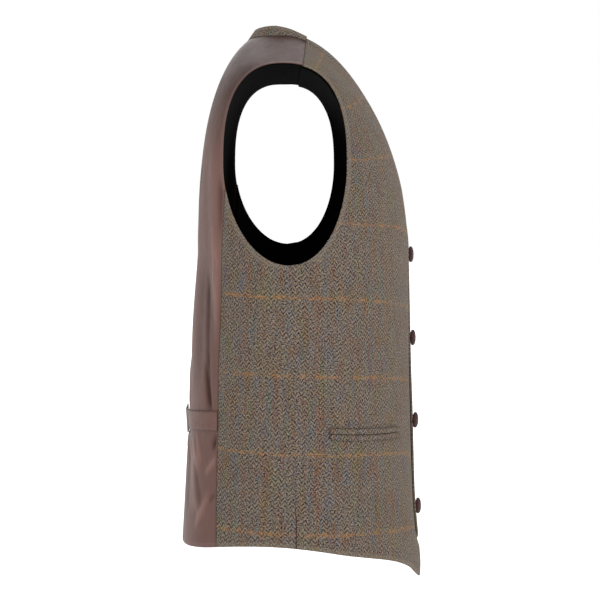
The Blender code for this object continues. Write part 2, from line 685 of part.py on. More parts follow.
def make_lining(panels):
    """Black lining just inside the panels."""
    for side, mirrored in (("left", False), ("right", True)):
        for part, panel, places, wall in (
            ("front", "front_" + side, lining_front_places(), TWEED_WALL),
            ("back", "back", lining_back_places(), SATIN_WALL),
        ):
            points, normals = panels[panel]
            rows, columns, missing = places
            lining_points = sample(points, rows, columns)
            lining_points[missing] = np.nan
            cloth_wall("lining_%s_%s" % (part, side), lining_points, unit(sample(normals, rows, columns)),
                       black_lining, LINING_WALL, lift=-wall - LINING_GAP, mirrored=mirrored)


def make_neck_band(panels):
    """Strip that stands on the back neck: its foot follows the backs' neck edges, and it leans in over the neck."""
    points, _ = panels["back"]
    foot = np.concatenate((points[:NECK_ROW:-1, SEAM_COLUMNS], points[NECK_ROW, SEAM_COLUMNS:]))
    foot = np.concatenate((foot, foot[-2::-1] * (-1, 1, 1)))
    tangent = unit(np.gradient(foot, axis=0) * (1, 1, 0))
    outward = np.cross(tangent, (0.0, 0.0, 1.0))
    up = np.array((0.0, 0.0, 1.0))
    lean = up * math.cos(BAND_LEAN) - outward * math.sin(BAND_LEAN)
    facing = up * math.sin(BAND_LEAN) + outward * math.cos(BAND_LEAN)
    run = np.concatenate(((0.0,), np.cumsum(np.linalg.norm(np.diff(foot, axis=0), axis=1))))
    from_end = np.minimum(run, run[-1] - run)
    height = BAND_FRONT_HEIGHT + (BAND_HEIGHT - BAND_FRONT_HEIGHT) * ease(from_end, 0.0, BAND_TAPER)
    steps = np.array((BAND_FOOT_GAP / BAND_HEIGHT, 0.5, 1.0))
    rows = foot[None] + lean[None] * (height[None, :] * steps[:, None])[..., None]
    cloth_wall("neck_band", rows, np.broadcast_to(facing, rows.shape), tweed, TWEED_WALL)


# ---- What lies on the panels --------------------------------------------------------------------------------

def rows_at_height(points, columns, heights):
    """Row at which each column of a panel reaches a height."""
    rows = np.arange(points.shape[0])
    found = []
    for column, height in zip(columns, heights):
        line = sample(points, rows, np.full(len(rows), column))
        found.append(np.interp(height, line[:, 2], rows))
    return np.array(found)


def columns_between(first, last):
    """The two ends, and every whole column between them that isn't right beside an end."""
    between = np.arange(math.ceil(first + 0.15), math.floor(last - 0.15) + 1)
    return np.concatenate(((first,), between, (last,)))


def column_at(points, axis, value, height, last):
    """Column of a panel at which its line of the given height has the wanted coordinate."""
    columns = np.linspace(0.0, last, 20 * int(last) + 1)
    rows = rows_at_height(points, columns, np.full(len(columns), height))
    places = sample(points, rows, columns)[:, axis]
    order = np.argsort(places)
    return float(np.interp(value, places[order], columns[order]))


def make_pockets(panels):
    """Two narrow lips for each lower pocket, one over and one under the slit."""
    middle = (POCKET_FRONT_HEIGHT + POCKET_REAR_HEIGHT) / 2
    for side, mirrored in (("left", False), ("right", True)):
        points, normals = panels["front_" + side]
        body = points[:, :FRONT_COLUMNS + 1]
        first = column_at(body, 1, POCKET_FRONT_Y, middle, FRONT_COLUMNS)
        last = column_at(body, 1, POCKET_REAR_Y, middle, FRONT_COLUMNS)
        columns = columns_between(first, last)
        slit = np.interp(columns, (first, last), (POCKET_FRONT_HEIGHT, POCKET_REAR_HEIGHT))
        for lip, low, high in (
            ("upper", POCKET_SLIT / 2, POCKET_SLIT / 2 + LIP_HEIGHT),
            ("lower", -POCKET_SLIT / 2 - LIP_HEIGHT, -POCKET_SLIT / 2),
        ):
            rows = np.stack([rows_at_height(points, columns, slit + edge) for edge in (low, high)])
            across = np.broadcast_to(columns, rows.shape)
            cloth_wall("pocket_%s_%s_lip" % (side, lip), sample(points, rows, across),
                       unit(sample(normals, rows, across)), tweed, LIP_WALL,
                       lift=LAYER_GAP + LIP_WALL, mirrored=mirrored, gap=0.0)


def strap_lines(points, normals):
    """Lower and upper edge of the strap on the left back, at each whole column from the side seam inwards."""
    columns = np.arange(points.shape[1])
    centre = np.interp(columns, (0, columns[-1]), (STRAP_SEAM_HEIGHT, STRAP_CENTRE_HEIGHT))
    rows = np.stack([rows_at_height(points, columns, centre + edge) for edge in (-STRAP_HEIGHT / 2, STRAP_HEIGHT / 2)])
    across = np.broadcast_to(columns, rows.shape)
    return sample(points, rows, across), unit(sample(normals, rows, across))


def make_strap(panels):
    """Waist strap: the left half lies on the back, and the right half's tongue runs on over it past the buckle."""
    points, normals = panels["back"]
    edges, outward = strap_lines(points[:NECK_ROW + 1], normals[:NECK_ROW + 1])
    edges[:, 0] += SEAM_GAP * unit(edges[:, 1] - edges[:, 0])
    mirror = np.array((-1.0, 1.0, 1.0))
    all_edges = np.concatenate((edges, edges[:, -2::-1] * mirror), axis=1)
    all_outward = np.concatenate((outward, outward[:, -2::-1] * mirror), axis=1)
    x = all_edges[0, :, 0]

    left_places = np.concatenate((x[x > STRAP_LEFT_END + 0.003], (STRAP_LEFT_END,)))
    left_edges = all_at(all_edges, x, left_places)
    left_outward = unit(all_at(all_outward, x, left_places))
    cloth_wall("strap_left", left_edges, left_outward, satin, STRAP_WALL, lift=LAYER_GAP + STRAP_WALL, gap=0.0)

    tongue_x = x[x < TONGUE_END - 0.003]
    extra = np.array((TONGUE_END, STRAP_LEFT_END, -STRAP_LEFT_END))
    tongue_places = np.unique(np.concatenate((tongue_x, extra)))[::-1]
    over = LAYER_GAP + STRAP_WALL
    height = over * ease(tongue_places, -STRAP_LEFT_END, STRAP_LEFT_END - 0.002)
    tongue_edges = all_at(all_edges, x, tongue_places)
    tongue_outward = unit(all_at(all_outward, x, tongue_places))
    tongue_edges = tongue_edges + tongue_outward * height[None, :, None]
    cloth_wall("strap_right", tongue_edges, tongue_outward, satin, STRAP_WALL,
               lift=LAYER_GAP + STRAP_WALL, gap=0.0)
    return over


def all_at(lines, x, places):
    """Each line's values at the given x places, from its values at x, which falls along the lines."""
    return np.stack([
        np.stack([np.interp(-places, -x, line[:, axis]) for axis in range(3)], axis=-1) for line in lines])


def rounded_rectangle(width, height, corner, steps=4):
    """Outline of a rectangle with round corners, as a list of points in its own plane."""
    outline = []
    for quarter, (side, up) in enumerate(((1, 1), (-1, 1), (-1, -1), (1, -1))):
        for step in range(steps + 1):
            turn = math.pi / 2 * (quarter + step / steps)
            outline.append((side * (width / 2 - corner) + corner * math.cos(turn),
                            up * (height / 2 - corner) + corner * math.sin(turn)))
    return outline


def add_outline(curve, outline, shift=0.0):
    spline = curve.splines.new("POLY")
    spline.points.add(len(outline) - 1)
    for point, (across, up) in zip(spline.points, outline):
        point.co = (across + shift, up, 0.0, 1.0)
    spline.use_cyclic_u = True


def make_buckle(panels, stack):
    """Slide buckle on the strap at the centre back: a flat frame with a middle bar."""
    points = panels["back"][0][:NECK_ROW + 1]
    row = rows_at_height(points, [points.shape[1] - 1], [STRAP_CENTRE_HEIGHT])[0]
    seat = sample(points, [row], [points.shape[1] - 1])[0]
    above = sample(points, [row + 1], [points.shape[1] - 1])[0]
    lean = math.atan2(above[1] - seat[1], above[2] - seat[2])
    curve = bpy.data.curves.new("strap_buckle", "CURVE")
    curve.dimensions = "2D"
    curve.fill_mode = "BOTH"
    curve.extrude = BUCKLE_WALL / 2
    add_outline(curve, rounded_rectangle(BUCKLE_WIDTH, BUCKLE_HEIGHT, BUCKLE_CORNER))
    window = (BUCKLE_WIDTH - 3 * BUCKLE_BAR) / 2
    for side in (-1, 1):
        add_outline(curve, rounded_rectangle(window, BUCKLE_HEIGHT - 2 * BUCKLE_BAR, BUCKLE_CORNER / 3),
                    side * (window + BUCKLE_BAR) / 2)
    buckle = add_object("strap_buckle", curve, gunmetal)
    out = stack + LAYER_GAP + STRAP_WALL + LAYER_GAP + BUCKLE_WALL / 2
    facing = Matrix.Rotation(math.pi, 4, "Z") @ Matrix.Rotation(math.pi / 2, 4, "X")
    buckle.matrix_world = (Matrix.Translation((0.0, seat[1] + out, STRAP_CENTRE_HEIGHT))
                           @ Matrix.Rotation(-lean, 4, "X") @ facing)


def make_buttons(panels):
    """Domed buttons, turned round their shanks: a coned back, a round rim and a domed face."""
    points, normals = panels["front_left"]
    turn = np.linspace(0.0, math.pi / 2, 7)
    dome = [(BUTTON_RADIUS * math.cos(a), BUTTON_BACK_DEPTH + BUTTON_DOME * math.sin(a)) for a in turn]
    profile = [(0.0, 0.0), (BUTTON_SHANK_RADIUS, 0.0)] + dome
    profile[-1] = (0.0, BUTTON_BACK_DEPTH + BUTTON_DOME)
    for number, (height, x, turned) in enumerate(zip(*BUTTONS.values()), start=1):
        column = column_at(points[:, :FRONT_COLUMNS + 1], 0, x, height, FRONT_COLUMNS)
        row = rows_at_height(points, [column], [height])[0]
        seat = sample(points, [row], [column])[0]
        outward = Vector(unit(sample(normals, [row], [column])[0]).tolist())
        mesh = bpy.data.meshes.new("button_%d" % number)
        mesh.from_pydata([(r, 0.0, h) for r, h in reversed(profile)], [(i, i + 1) for i in range(len(profile) - 1)], [])
        button = add_object("button_%d" % number, mesh, leather)
        screw = button.modifiers.new("turned", "SCREW")
        screw.steps = BUTTON_STEPS
        screw.render_steps = BUTTON_STEPS
        screw.use_merge_vertices = True
        screw.merge_threshold = 0.00001
        axis = Matrix.Rotation(-math.radians(turned), 4, "Z") @ outward
        place = Vector(seat.tolist()) + outward * BUTTON_LIFT
        button.matrix_world = Matrix.Translation(place) @ axis.to_track_quat("Z", "Y").to_matrix().to_4x4()


# ---- Materials and building ---------------------------------------------------------------------------------

def material(name, colour, roughness, metallic=0.0):
    """Principled material; the colour is linear."""
    finish = bpy.data.materials.new(name)
    finish.use_nodes = True
    shader = finish.node_tree.nodes["Principled BSDF"]
    shader.inputs["Base Color"].default_value = (*colour, 1.0)
    shader.inputs["Roughness"].default_value = roughness
    shader.inputs["Metallic"].default_value = metallic
    return finish


for old in list(bpy.data.objects):
    bpy.data.objects.remove(old)
garment = bpy.data.collections.new("suit_waistcoat")
bpy.context.scene.collection.children.link(garment)

tweed = material("tweed", (0.152, 0.127, 0.098), 0.92)
satin = material("satin", (0.198, 0.127, 0.112), 0.42)
black_lining = material("black_lining", (0.004, 0.004, 0.004), 0.60)
leather = material("leather", (0.045, 0.022, 0.020), 0.45)
gunmetal = material("gunmetal", (0.090, 0.080, 0.075), 0.35, 1.0)

panels = make_panels()
make_outer_cloth(panels)
make_lining(panels)
make_neck_band(panels)
make_pockets(panels)
tongue_stack = make_strap(panels)
make_buckle(panels, tongue_stack)
make_buttons(panels)
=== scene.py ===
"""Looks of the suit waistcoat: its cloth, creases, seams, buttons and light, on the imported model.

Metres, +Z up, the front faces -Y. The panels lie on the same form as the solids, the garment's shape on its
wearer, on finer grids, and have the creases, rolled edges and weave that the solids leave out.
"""

import math

import bpy
import numpy as np
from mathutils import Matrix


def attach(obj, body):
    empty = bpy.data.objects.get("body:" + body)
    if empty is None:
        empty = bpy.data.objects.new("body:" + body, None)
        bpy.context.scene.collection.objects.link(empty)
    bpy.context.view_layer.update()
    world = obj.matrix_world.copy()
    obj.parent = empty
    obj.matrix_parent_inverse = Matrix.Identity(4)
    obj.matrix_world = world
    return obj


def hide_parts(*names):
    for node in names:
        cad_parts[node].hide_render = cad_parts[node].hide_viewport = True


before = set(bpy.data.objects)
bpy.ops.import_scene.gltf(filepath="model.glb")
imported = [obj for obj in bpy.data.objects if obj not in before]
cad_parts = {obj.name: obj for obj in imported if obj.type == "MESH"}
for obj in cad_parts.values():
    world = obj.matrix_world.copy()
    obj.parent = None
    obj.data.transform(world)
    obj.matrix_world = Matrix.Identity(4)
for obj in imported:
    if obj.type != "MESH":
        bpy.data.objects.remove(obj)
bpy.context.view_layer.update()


def table(columns, *rows):
    """Rows of numbers as a dictionary with one array for each named column."""
    return dict(zip(columns.split(), np.array(rows, dtype=float).T))


# ---- Sizes of the solids ------------------------------------------------------------------------------------

TWEED_WALL = 0.0025
SATIN_WALL = 0.0012
LINING_WALL = 0.0010
SEAM_GAP = 0.0003
LAYER_GAP = 0.0007

SECTIONS = table(
    "height half_width front back front_power back_power",
    (-0.660, 0.190, -0.1676, 0.1275, 2.20, 2.50),
    (-0.610, 0.186, -0.1630, 0.1250, 2.15, 2.50),
    (-0.560, 0.179, -0.1584, 0.1220, 2.10, 2.45),
    (-0.500, 0.171, -0.1560, 0.1185, 2.05, 2.40),
    (-0.450, 0.167, -0.1544, 0.1155, 2.05, 2.40),
    (-0.400, 0.168, -0.1522, 0.1125, 2.05, 2.45),
    (-0.320, 0.177, -0.1493, 0.1070, 2.10, 2.50),
    (-0.260, 0.185, -0.1473, 0.1012, 2.10, 2.60),
)
SECTION_CENTRE = -0.015
CHEST_HEIGHT = -0.260
RIDGE_Y = 0.000
RIDGE_NECK_X = 0.0775
RIDGE_NECK_HEIGHT = -0.0145
RIDGE_SLOPE = 0.385
RIDGE_POWER = 5.0
SHOULDER_ARC = 0.360
FRONT_CAP_POWER = 1.765
BACK_CAP_POWER = 2.245

V_LAP = 0.024
CUTAWAY_LAP = 0.034
CUTAWAY_HEIGHT = -0.590
CUTAWAY_BEND = (-0.027, -0.606)
V_HEIGHT = -0.254
NECKLINE = table(
    "height x",
    (-0.254, -0.0240),
    (-0.236, -0.0115),
    (-0.208, 0.0060),
    (-0.176, 0.0215),
    (-0.144, 0.0345),
    (-0.112, 0.0460),
    (-0.080, 0.0565),
    (-0.050, 0.0660),
    (-0.020, 0.0765),
)
NECK_POINT = (0.0765, -0.0238)
SHOULDER_POINT = (0.1650, -0.0192)
COLLAR_RISE = 0.0045
COLLAR_FADE = 0.070
COLLAR_FORWARD = 0.0011

HEM = table(
    "angle height",
    (-71.0, -0.6425),
    (-65.0, -0.6325),
    (-60.0, -0.6220),
    (-54.0, -0.6125),
    (-43.0, -0.5995),
    (-33.0, -0.5912),
    (-22.0, -0.5840),
    (-8.0, -0.5760),
    (8.0, -0.5715),
    (20.0, -0.5718),
    (32.0, -0.5757),
    (50.0, -0.5872),
    (62.0, -0.5950),
    (76.0, -0.6015),
    (90.0, -0.6030),
)

ARMHOLE_HEIGHT = -0.1575
ARMHOLE_HALF_HEIGHT = 0.1063
ARMHOLE_HALF_WIDTH = 0.0664
ARMHOLE_TOP_POWER = 2.6
ARMHOLE_LOW_POWER = 2.0
ARMHOLE_LOW_SHIFT = -0.004

SIDE_SEAM = table(
    "height y",
    (-0.5780, 0.0768),
    (-0.5220, 0.0767),
    (-0.4460, 0.0748),
    (-0.3820, 0.0736),
    (-0.3120, 0.0698),
    (-0.2360, 0.0675),
    (-0.1880, 0.0640),
)

NECK_HALF_WIDTH = 0.0775
NAPE_Y = 0.0445
NECK_POWER = 2.2
BAND_HEIGHT = 0.0155
BAND_FRONT_HEIGHT = 0.0085
BAND_TAPER = 0.045
BAND_LEAN = math.radians(35.0)
BAND_FOOT_GAP = 0.0005

FOLDS = table(
    "top_angle foot_angle top_height foot_height half_width_angle depth",
    (47.0, 44.0, -0.100, -0.330, 5.0, 0.0022),
    (57.0, 58.0, -0.240, -0.430, 6.0, -0.0020),
    (68.0, 73.0, -0.150, -0.420, 6.0, 0.0018),
    (60.0, 50.0, -0.470, -0.560, 5.0, 0.0018),
    (70.0, 64.0, -0.470, -0.575, 5.0, -0.0018),
)
CINCH_DEPTH = 0.0034
CINCH_FULL_HEIGHT = 0.010
CINCH_NONE_HEIGHT = 0.017
CINCH_FROM_ANGLE = 60.0
CINCH_FULL_ANGLE = 82.0

TUCK_DEPTH = TWEED_WALL + 0.0013
TUCK_REACH = table(
    "height x",
    (-0.630, -0.0200),
    (-0.616, 0.0040),
    (-0.604, 0.0280),
    (-0.590, 0.0400),
    (-0.254, 0.0300),
)
TUCK_FADE = 0.024
TUCK_FULL_HEIGHT = -0.225
TUCK_NONE_HEIGHT = -0.185

EDGE_ROWS = 15
CUTAWAY_ROWS = 3
LOW_ROWS = CUTAWAY_ROWS + EDGE_ROWS
ARM_ROWS = 14
FRONT_COLUMNS = 12
UNDERARM_COLUMNS = 6
SEAM_COLUMNS = 6
NECK_COLUMNS = 6
NECK_ROWS = 5
NECK_ROW = LOW_ROWS + ARM_ROWS - NECK_ROWS
ALL_ROWS = LOW_ROWS + ARM_ROWS

LINING_GAP = 0.00095
LINING_EDGE_COLUMNS = 3.2
LINING_HEM_ROWS = 0.7
LINING_ARM_INSET = 0.3
LINING_SEAM_INSET = 0.1
LINING_NECK_INSET = 0.7

POCKET_FRONT_Y = -0.1270
POCKET_REAR_Y = -0.0484
POCKET_FRONT_HEIGHT = -0.4603
POCKET_REAR_HEIGHT = -0.4495
POCKET_SLIT = 0.0012
LIP_HEIGHT = 0.0062
LIP_WALL = 0.0014

STRAP_HEIGHT = 0.0225
STRAP_SEAM_HEIGHT = -0.4405
STRAP_CENTRE_HEIGHT = -0.4640
STRAP_WALL = 0.0010
STRAP_LEFT_END = 0.010
TONGUE_END = 0.058

BUTTONS = table(
    "height x turn",
    (-0.2640, -0.0140, 13.0),
    (-0.3635, -0.0185, 14.0),
    (-0.4630, -0.0215, 15.0),
    (-0.5680, -0.0235, 15.0),
)
BUTTON_RADIUS = 0.0095
BUTTON_SHANK_RADIUS = 0.0020
BUTTON_BACK_DEPTH = 0.0022
BUTTON_DOME = 0.0028
BUTTON_LIFT = 0.0007

NEWTON_STEPS = 40
NEWTON_LIMIT = 0.1
SLOPE_STEP = 1e-5
OUTLINE_SAMPLES = 181

# ---- Sizes that only the looks have --------------------------------------------------------------------------

# Grid steps to each row or column of the solids
FRONT_FINE = 5
BACK_FINE = 6
LINING_FINE = 3

# Creases: each runs from its start to its end, over the right side (1), the left (-1) or both (0)
SATIN_CREASES = table(
    "side start_angle start_height end_angle end_height half_width depth",
    (1, 51.5, -0.275, 49.5, -0.360, 0.0065, -0.0016),
    (1, 49.5, -0.350, 47.5, -0.432, 0.0050, -0.0016),
    (1, 51.5, -0.380, 45.0, -0.434, 0.0032, -0.0018),
    (1, 41.5, -0.165, 41.8, -0.235, 0.0045, -0.0014),
    (1, 46.8, -0.225, 42.6, -0.350, 0.0045, 0.0014),
    (1, 61.5, -0.470, 52.0, -0.500, 0.0042, 0.0016),
    (1, 57.0, -0.462, 51.5, -0.492, 0.0040, 0.0013),
    (1, 39.5, -0.478, 47.5, -0.503, 0.0036, 0.0016),
    (1, 40.5, -0.455, 43.5, -0.474, 0.0042, -0.0018),
    (1, 44.5, -0.522, 53.5, -0.568, 0.0042, 0.0015),
    (1, 39.5, -0.520, 44.5, -0.532, 0.0026, -0.0010),
    (1, 56.0, -0.500, 49.0, -0.545, 0.0060, -0.0014),
    (1, 79.0, -0.385, 71.0, -0.446, 0.0060, 0.0014),
    (-1, 50.0, -0.290, 52.0, -0.390, 0.0065, -0.0015),
    (-1, 47.0, -0.385, 42.5, -0.434, 0.0034, -0.0016),
    (-1, 42.0, -0.170, 42.5, -0.250, 0.0045, -0.0013),
    (-1, 47.5, -0.240, 44.5, -0.345, 0.0048, 0.0013),
    (-1, 62.0, -0.472, 54.0, -0.506, 0.0045, 0.0015),
    (-1, 39.5, -0.474, 49.0, -0.494, 0.0036, 0.0014),
    (-1, 47.0, -0.515, 57.0, -0.560, 0.0046, 0.0014),
    (-1, 41.0, -0.455, 45.0, -0.470, 0.0040, -0.0016),
    (0, 82.0, -0.484, 74.0, -0.520, 0.0050, -0.0012),
    (0, 76.0, -0.478, 69.0, -0.506, 0.0040, 0.0012),
    (0, 83.0, -0.448, 76.0, -0.420, 0.0044, -0.0012),
    (0, 64.0, -0.150, 71.0, -0.235, 0.0090, -0.0012),
)
TWEED_CREASES = table(
    "side start_angle start_height end_angle end_height half_width depth",
    (0, 12.0, -0.290, 24.0, -0.350, 0.0120, -0.0007),
    (0, -6.0, -0.285, -16.0, -0.345, 0.0130, -0.0006),
    (0, 26.0, -0.400, 12.0, -0.452, 0.0120, -0.0008),
    (0, 30.0, -0.480, 16.0, -0.520, 0.0130, 0.0007),
    (0, -42.0, -0.490, -52.0, -0.570, 0.0150, -0.0007),
)
METRES_A_DEGREE = 0.0029

# Satin's painted shade, given as the height of a crease painted the same: deep on the shoulders, and flat on the
# strap
SHOULDER_SHADE = -0.0018
SHOULDER_SHADE_FROM = -0.160
SHOULDER_SHADE_FULL = -0.045
STRAP_SHADE = 0.0002
FOLD_SHADE = 0.42

# Where the back's relief fades in. It starts beside the side seam, so that the backs meet the fronts there:
# columns for the folds and the creases, angles from the seam on and back from the centre for the creases, and
# distances from the strap's middle, which presses the creases flat
FOLDS_OFF_SEAM = (0.0, 1.0)
CREASES_OFF_SEAM = (0.0, 0.4)
CREASES_FROM_ANGLE = (36.0, 40.0)
CREASES_OFF_CENTRE = (0.0, 4.0)
PRESSED_FLAT = (0.008, 0.014)

# How far the neck band's ends run on past the shoulder seams, to lie against the fronts' raised neck edges
BAND_END_LAP = 0.0014

# Rows over the neck band, over a pocket lip or the strap, and columns along a lip
BAND_ROWS = 9
NARROW_ROWS = 7
LIP_COLUMNS = 60

# Where the neck band and the lips are cut, as shifts on the flat cloth
BAND_CLOTH = (0.021, 0.020)
LIP_CLOTH = (0.0105, 0.004)

# The strap: no column lies closer than this to an end, and over these x places the tongue climbs the left half
STRAP_END_CLEAR = 0.0015
TONGUE_CLIMB = (-0.010, 0.008)

# Front lining: columns over the front, and the column from which it drops towards the armpit
LINING_MAIN_COLUMNS = 9
LINING_DROP_COLUMN = 10.2

# How near an edge line a distance from it is taken at right angles
SQUARE_REACH = 0.03

# Cloth lengths: the drop of a level thread towards the front, from the side on
THREAD_DROP = table(
    "angle drop",
    (-92.0, 0.0380),
    (-80.0, 0.0330),
    (-60.0, 0.0190),
    (-36.0, 0.0085),
    (-16.0, 0.0035),
    (6.0, 0.0010),
    (30.0, 0.0000),
)
THREAD_ZERO_ANGLE = -8.1
CHEST_ANGLES = np.radians(np.linspace(-110.0, 95.0, 411))

# Buttonholes, on the left front: from just outside each button's shank inwards
HOLE_START = -0.0025
HOLE_LENGTH = 0.0240
HOLE_HALF_HEIGHT = 0.0012
HOLE_THREAD = 0.0006
HOLE_STITCHES = 24
HOLE_STEPS = 64
HOLE_TUBE_STEPS = 10

# Woven leather of the buttons
STRAND_WIDTH = 0.0038
STRAND_RELIEF = 0.00060

# Button grid, radius and height of the rings under the dome, and the radii between which its painted highlight
# fades
BUTTON_RINGS = 22
BUTTON_STEPS = 72
BUTTON_UNDERSIDE = (
    (BUTTON_RADIUS * 0.985, BUTTON_BACK_DEPTH * 0.45),
    (BUTTON_RADIUS * 0.8, BUTTON_BACK_DEPTH * 0.1),
    (BUTTON_SHANK_RADIUS, -BUTTON_LIFT),
    (BUTTON_SHANK_RADIUS * 0.1, -BUTTON_LIFT),
)
DOME_HIGHLIGHT_RADII = (0.0015, 0.0050)

# Dart of each front: a short seam under the pocket that runs down to the hem
DART_ANGLE = 1.3
DART_HEIGHT = -0.538


# ---- Small tools --------------------------------------------------------------------------------------------

def smooth_line(value, places, heights):
    """Cubic through the given rows, each row's slope taken from its neighbours, and level beyond the ends."""
    slopes = np.gradient(heights, places)
    value = np.clip(value, places[0], places[-1])
    row = np.clip(np.searchsorted(places, value, side="right") - 1, 0, len(places) - 2)
    width = places[row + 1] - places[row]
    s = (value - places[row]) / width
    from_row = (2 * s**3 - 3 * s**2 + 1) * heights[row] + (s**3 - 2 * s**2 + s) * width * slopes[row]
    to_row = (3 * s**2 - 2 * s**3) * heights[row + 1] + (s**3 - s**2) * width * slopes[row + 1]
    return from_row + to_row


def ease(value, low, high):
    """0 below `low`, 1 above `high`, and a smooth step between them."""
    s = np.clip((value - low) / (high - low), 0.0, 1.0)
    return s * s * (3 - 2 * s)


def unit(vectors):
    """The same directions at length 1."""
    return vectors / np.linalg.norm(vectors, axis=-1, keepdims=True)


# ---- The form on the wearer ---------------------------------------------------------------------------------

def section(name, height):
    """One column of the sections' table, read at a height."""
    return smooth_line(height, SECTIONS["height"], SECTIONS[name])


def ridge_height(x):
    """Height of the shoulders' ridge: straight slopes outside the neck, and a round between them."""
    x = np.abs(x)
    inside = (RIDGE_NECK_X**2 - np.minimum(x, RIDGE_NECK_X)**2) / (2 * RIDGE_NECK_X)
    outside = np.maximum(x - RIDGE_NECK_X, 0.0)
    return RIDGE_NECK_HEIGHT + RIDGE_SLOPE * (inside - outside)


def form(spots):
    """Points of the form on the wearer at spots (angle, rise).

    Its level sections are superellipses. The angle runs round the left half of the body, from -90 degrees at
    the centre front over 0 at the side to 90 at the centre back. The rise is the height over the chest line, and
    above that line the length of the arc that climbs to the shoulder's ridge and goes on over it.
    """
    angle = spots[..., 0]
    rise = spots[..., 1]
    climb = np.clip(rise / SHOULDER_ARC, 0.0, 2.0) * (math.pi / 2)
    side = np.where(climb > math.pi / 2, -angle, angle)
    is_front = side < 0
    level = CHEST_HEIGHT + np.minimum(rise, 0.0)
    cap_power = FRONT_CAP_POWER + (BACK_CAP_POWER - FRONT_CAP_POWER) * ease(side, -0.5, 0.5)
    lift = np.abs(np.sin(climb))
    close = np.abs(np.cos(climb))
    cap = (lift**cap_power + close**cap_power) ** (1 / cap_power)
    lift = lift / cap
    close = close / cap
    power = np.where(is_front, section("front_power", level), section("back_power", level))
    power = power + (RIDGE_POWER - power) * lift**2
    radius = (np.abs(np.cos(side))**power + np.abs(np.sin(side))**power) ** (1 / power)
    x = section("half_width", level) * np.cos(side) / radius
    reach = np.where(
        is_front, SECTION_CENTRE - section("front", level), section("back", level) - SECTION_CENTRE)
    centre = SECTION_CENTRE + (RIDGE_Y - SECTION_CENTRE) * lift**2
    y = centre + reach * close * np.sin(side) / radius
    z = level + (ridge_height(x) - CHEST_HEIGHT) * lift
    return np.stack((x, y, z), axis=-1)


def form_normals(spots):
    """Outward directions of the form, from its slopes along the angle and the rise."""
    turn = np.array((SLOPE_STEP, 0.0))
    climb = np.array((0.0, SLOPE_STEP))
    return unit(np.cross(form(spots + turn) - form(spots - turn), form(spots + climb) - form(spots - climb)))


def fold_depth(spots):
    """How far the back's folds stand out, less how far the strap draws the back in.

    Each fold is a bell across and fades to nothing at its two ends. The strap pulls only where it lies.
    """
    angle = np.degrees(spots[..., 0])
    height = CHEST_HEIGHT + spots[..., 1]
    pull = 1 - ease(np.abs(height - STRAP_CENTRE_HEIGHT), CINCH_FULL_HEIGHT, CINCH_NONE_HEIGHT)
    depth = -CINCH_DEPTH * pull * ease(angle, CINCH_FROM_ANGLE, CINCH_FULL_ANGLE)
    for top_angle, foot_angle, top, foot, half_width, most in zip(*FOLDS.values()):
        along = (top - height) / (top - foot)
        centre = top_angle + (foot_angle - top_angle) * along
        fade = ease(along, 0.0, 0.3) * ease(1 - along, 0.0, 0.3)
        depth += most * fade * np.exp(-((angle - centre) / half_width) ** 2)
    return depth


def crease_depth(spots, creases, side):
    """Height of the fine creases of one side of the body.

    Each crease is a bell across its line, and fades over its last third at both ends.
    """
    angle = np.degrees(spots[..., 0]) * METRES_A_DEGREE
    height = CHEST_HEIGHT + spots[..., 1]
    depth = np.zeros(spots.shape[:-1])
    for on_side, from_angle, from_height, to_angle, to_height, half_width, most in zip(*creases.values()):
        if on_side == -side:
            continue
        run = np.array(((to_angle - from_angle) * METRES_A_DEGREE, to_height - from_height))
        length = np.hypot(*run)
        beside = angle - from_angle * METRES_A_DEGREE
        above = height - from_height
        across = (beside * run[1] - above * run[0]) / length
        along = (beside * run[0] + above * run[1]) / length**2
        fade = ease(along, -0.12, 0.3) * ease(1 - along, -0.12, 0.3)
        depth += most * fade * np.exp(-(across / half_width) ** 2)
    return depth


def tuck_depth(points):
    """How far the right front lies in under the left one, given its points mirrored to the left side.

    The tuck is whole as far as its reach at the point's height, and fades out beyond.
    """
    reach = np.interp(points[..., 2], TUCK_REACH["height"], TUCK_REACH["x"])
    near_edge = 1 - ease(points[..., 0] - reach, 0.0, TUCK_FADE)
    below_neck = 1 - ease(points[..., 2], TUCK_FULL_HEIGHT, TUCK_NONE_HEIGHT)
    return TUCK_DEPTH * near_edge * below_neck


def spots_at(wanted, axes, guess):
    """Spots whose points have the wanted coordinates on two axes, by Newton's method."""
    wanted = np.array(wanted, dtype=float)
    spots = np.broadcast_to(np.array(guess, dtype=float), wanted.shape).copy()
    for _ in range(NEWTON_STEPS):
        here = form(spots)[:, axes]
        by_angle = (form(spots + (SLOPE_STEP, 0.0))[:, axes] - here) / SLOPE_STEP
        by_rise = (form(spots + (0.0, SLOPE_STEP))[:, axes] - here) / SLOPE_STEP
        slopes = np.stack((by_angle, by_rise), axis=-1)
        change = np.linalg.solve(slopes, (wanted - here)[..., None])[..., 0]
        spots += np.clip(change, -NEWTON_LIMIT, NEWTON_LIMIT)
    return spots


def line_spots(line, axes, angle, rises):
    """Spots of a line's points, sought from one angle and from a rise for each point."""
    return spots_at(line, axes, np.stack((np.full(len(line), angle), rises), axis=-1))


# ---- Outlines of the panels ---------------------------------------------------------------------------------

def at(line, fractions):
    """Spots at fractions of a line's real length."""
    lengths = np.linalg.norm(np.diff(form(line), axis=0), axis=1)
    run = np.concatenate(((0.0,), np.cumsum(lengths)))
    places = np.asarray(fractions) * run[-1]
    return np.stack((np.interp(places, run, line[:, 0]), np.interp(places, run, line[:, 1])), axis=-1)


def chain(parts, places):
    """Spots on lines laid end to end, where each line takes its own number of rows or columns."""
    spots = np.empty((len(places), 2))
    start = 0.0
    for line, count in parts:
        here = (places >= start) & (places <= start + count)
        spots[here] = at(line, (places[here] - start) / count)
        start += count
    return spots


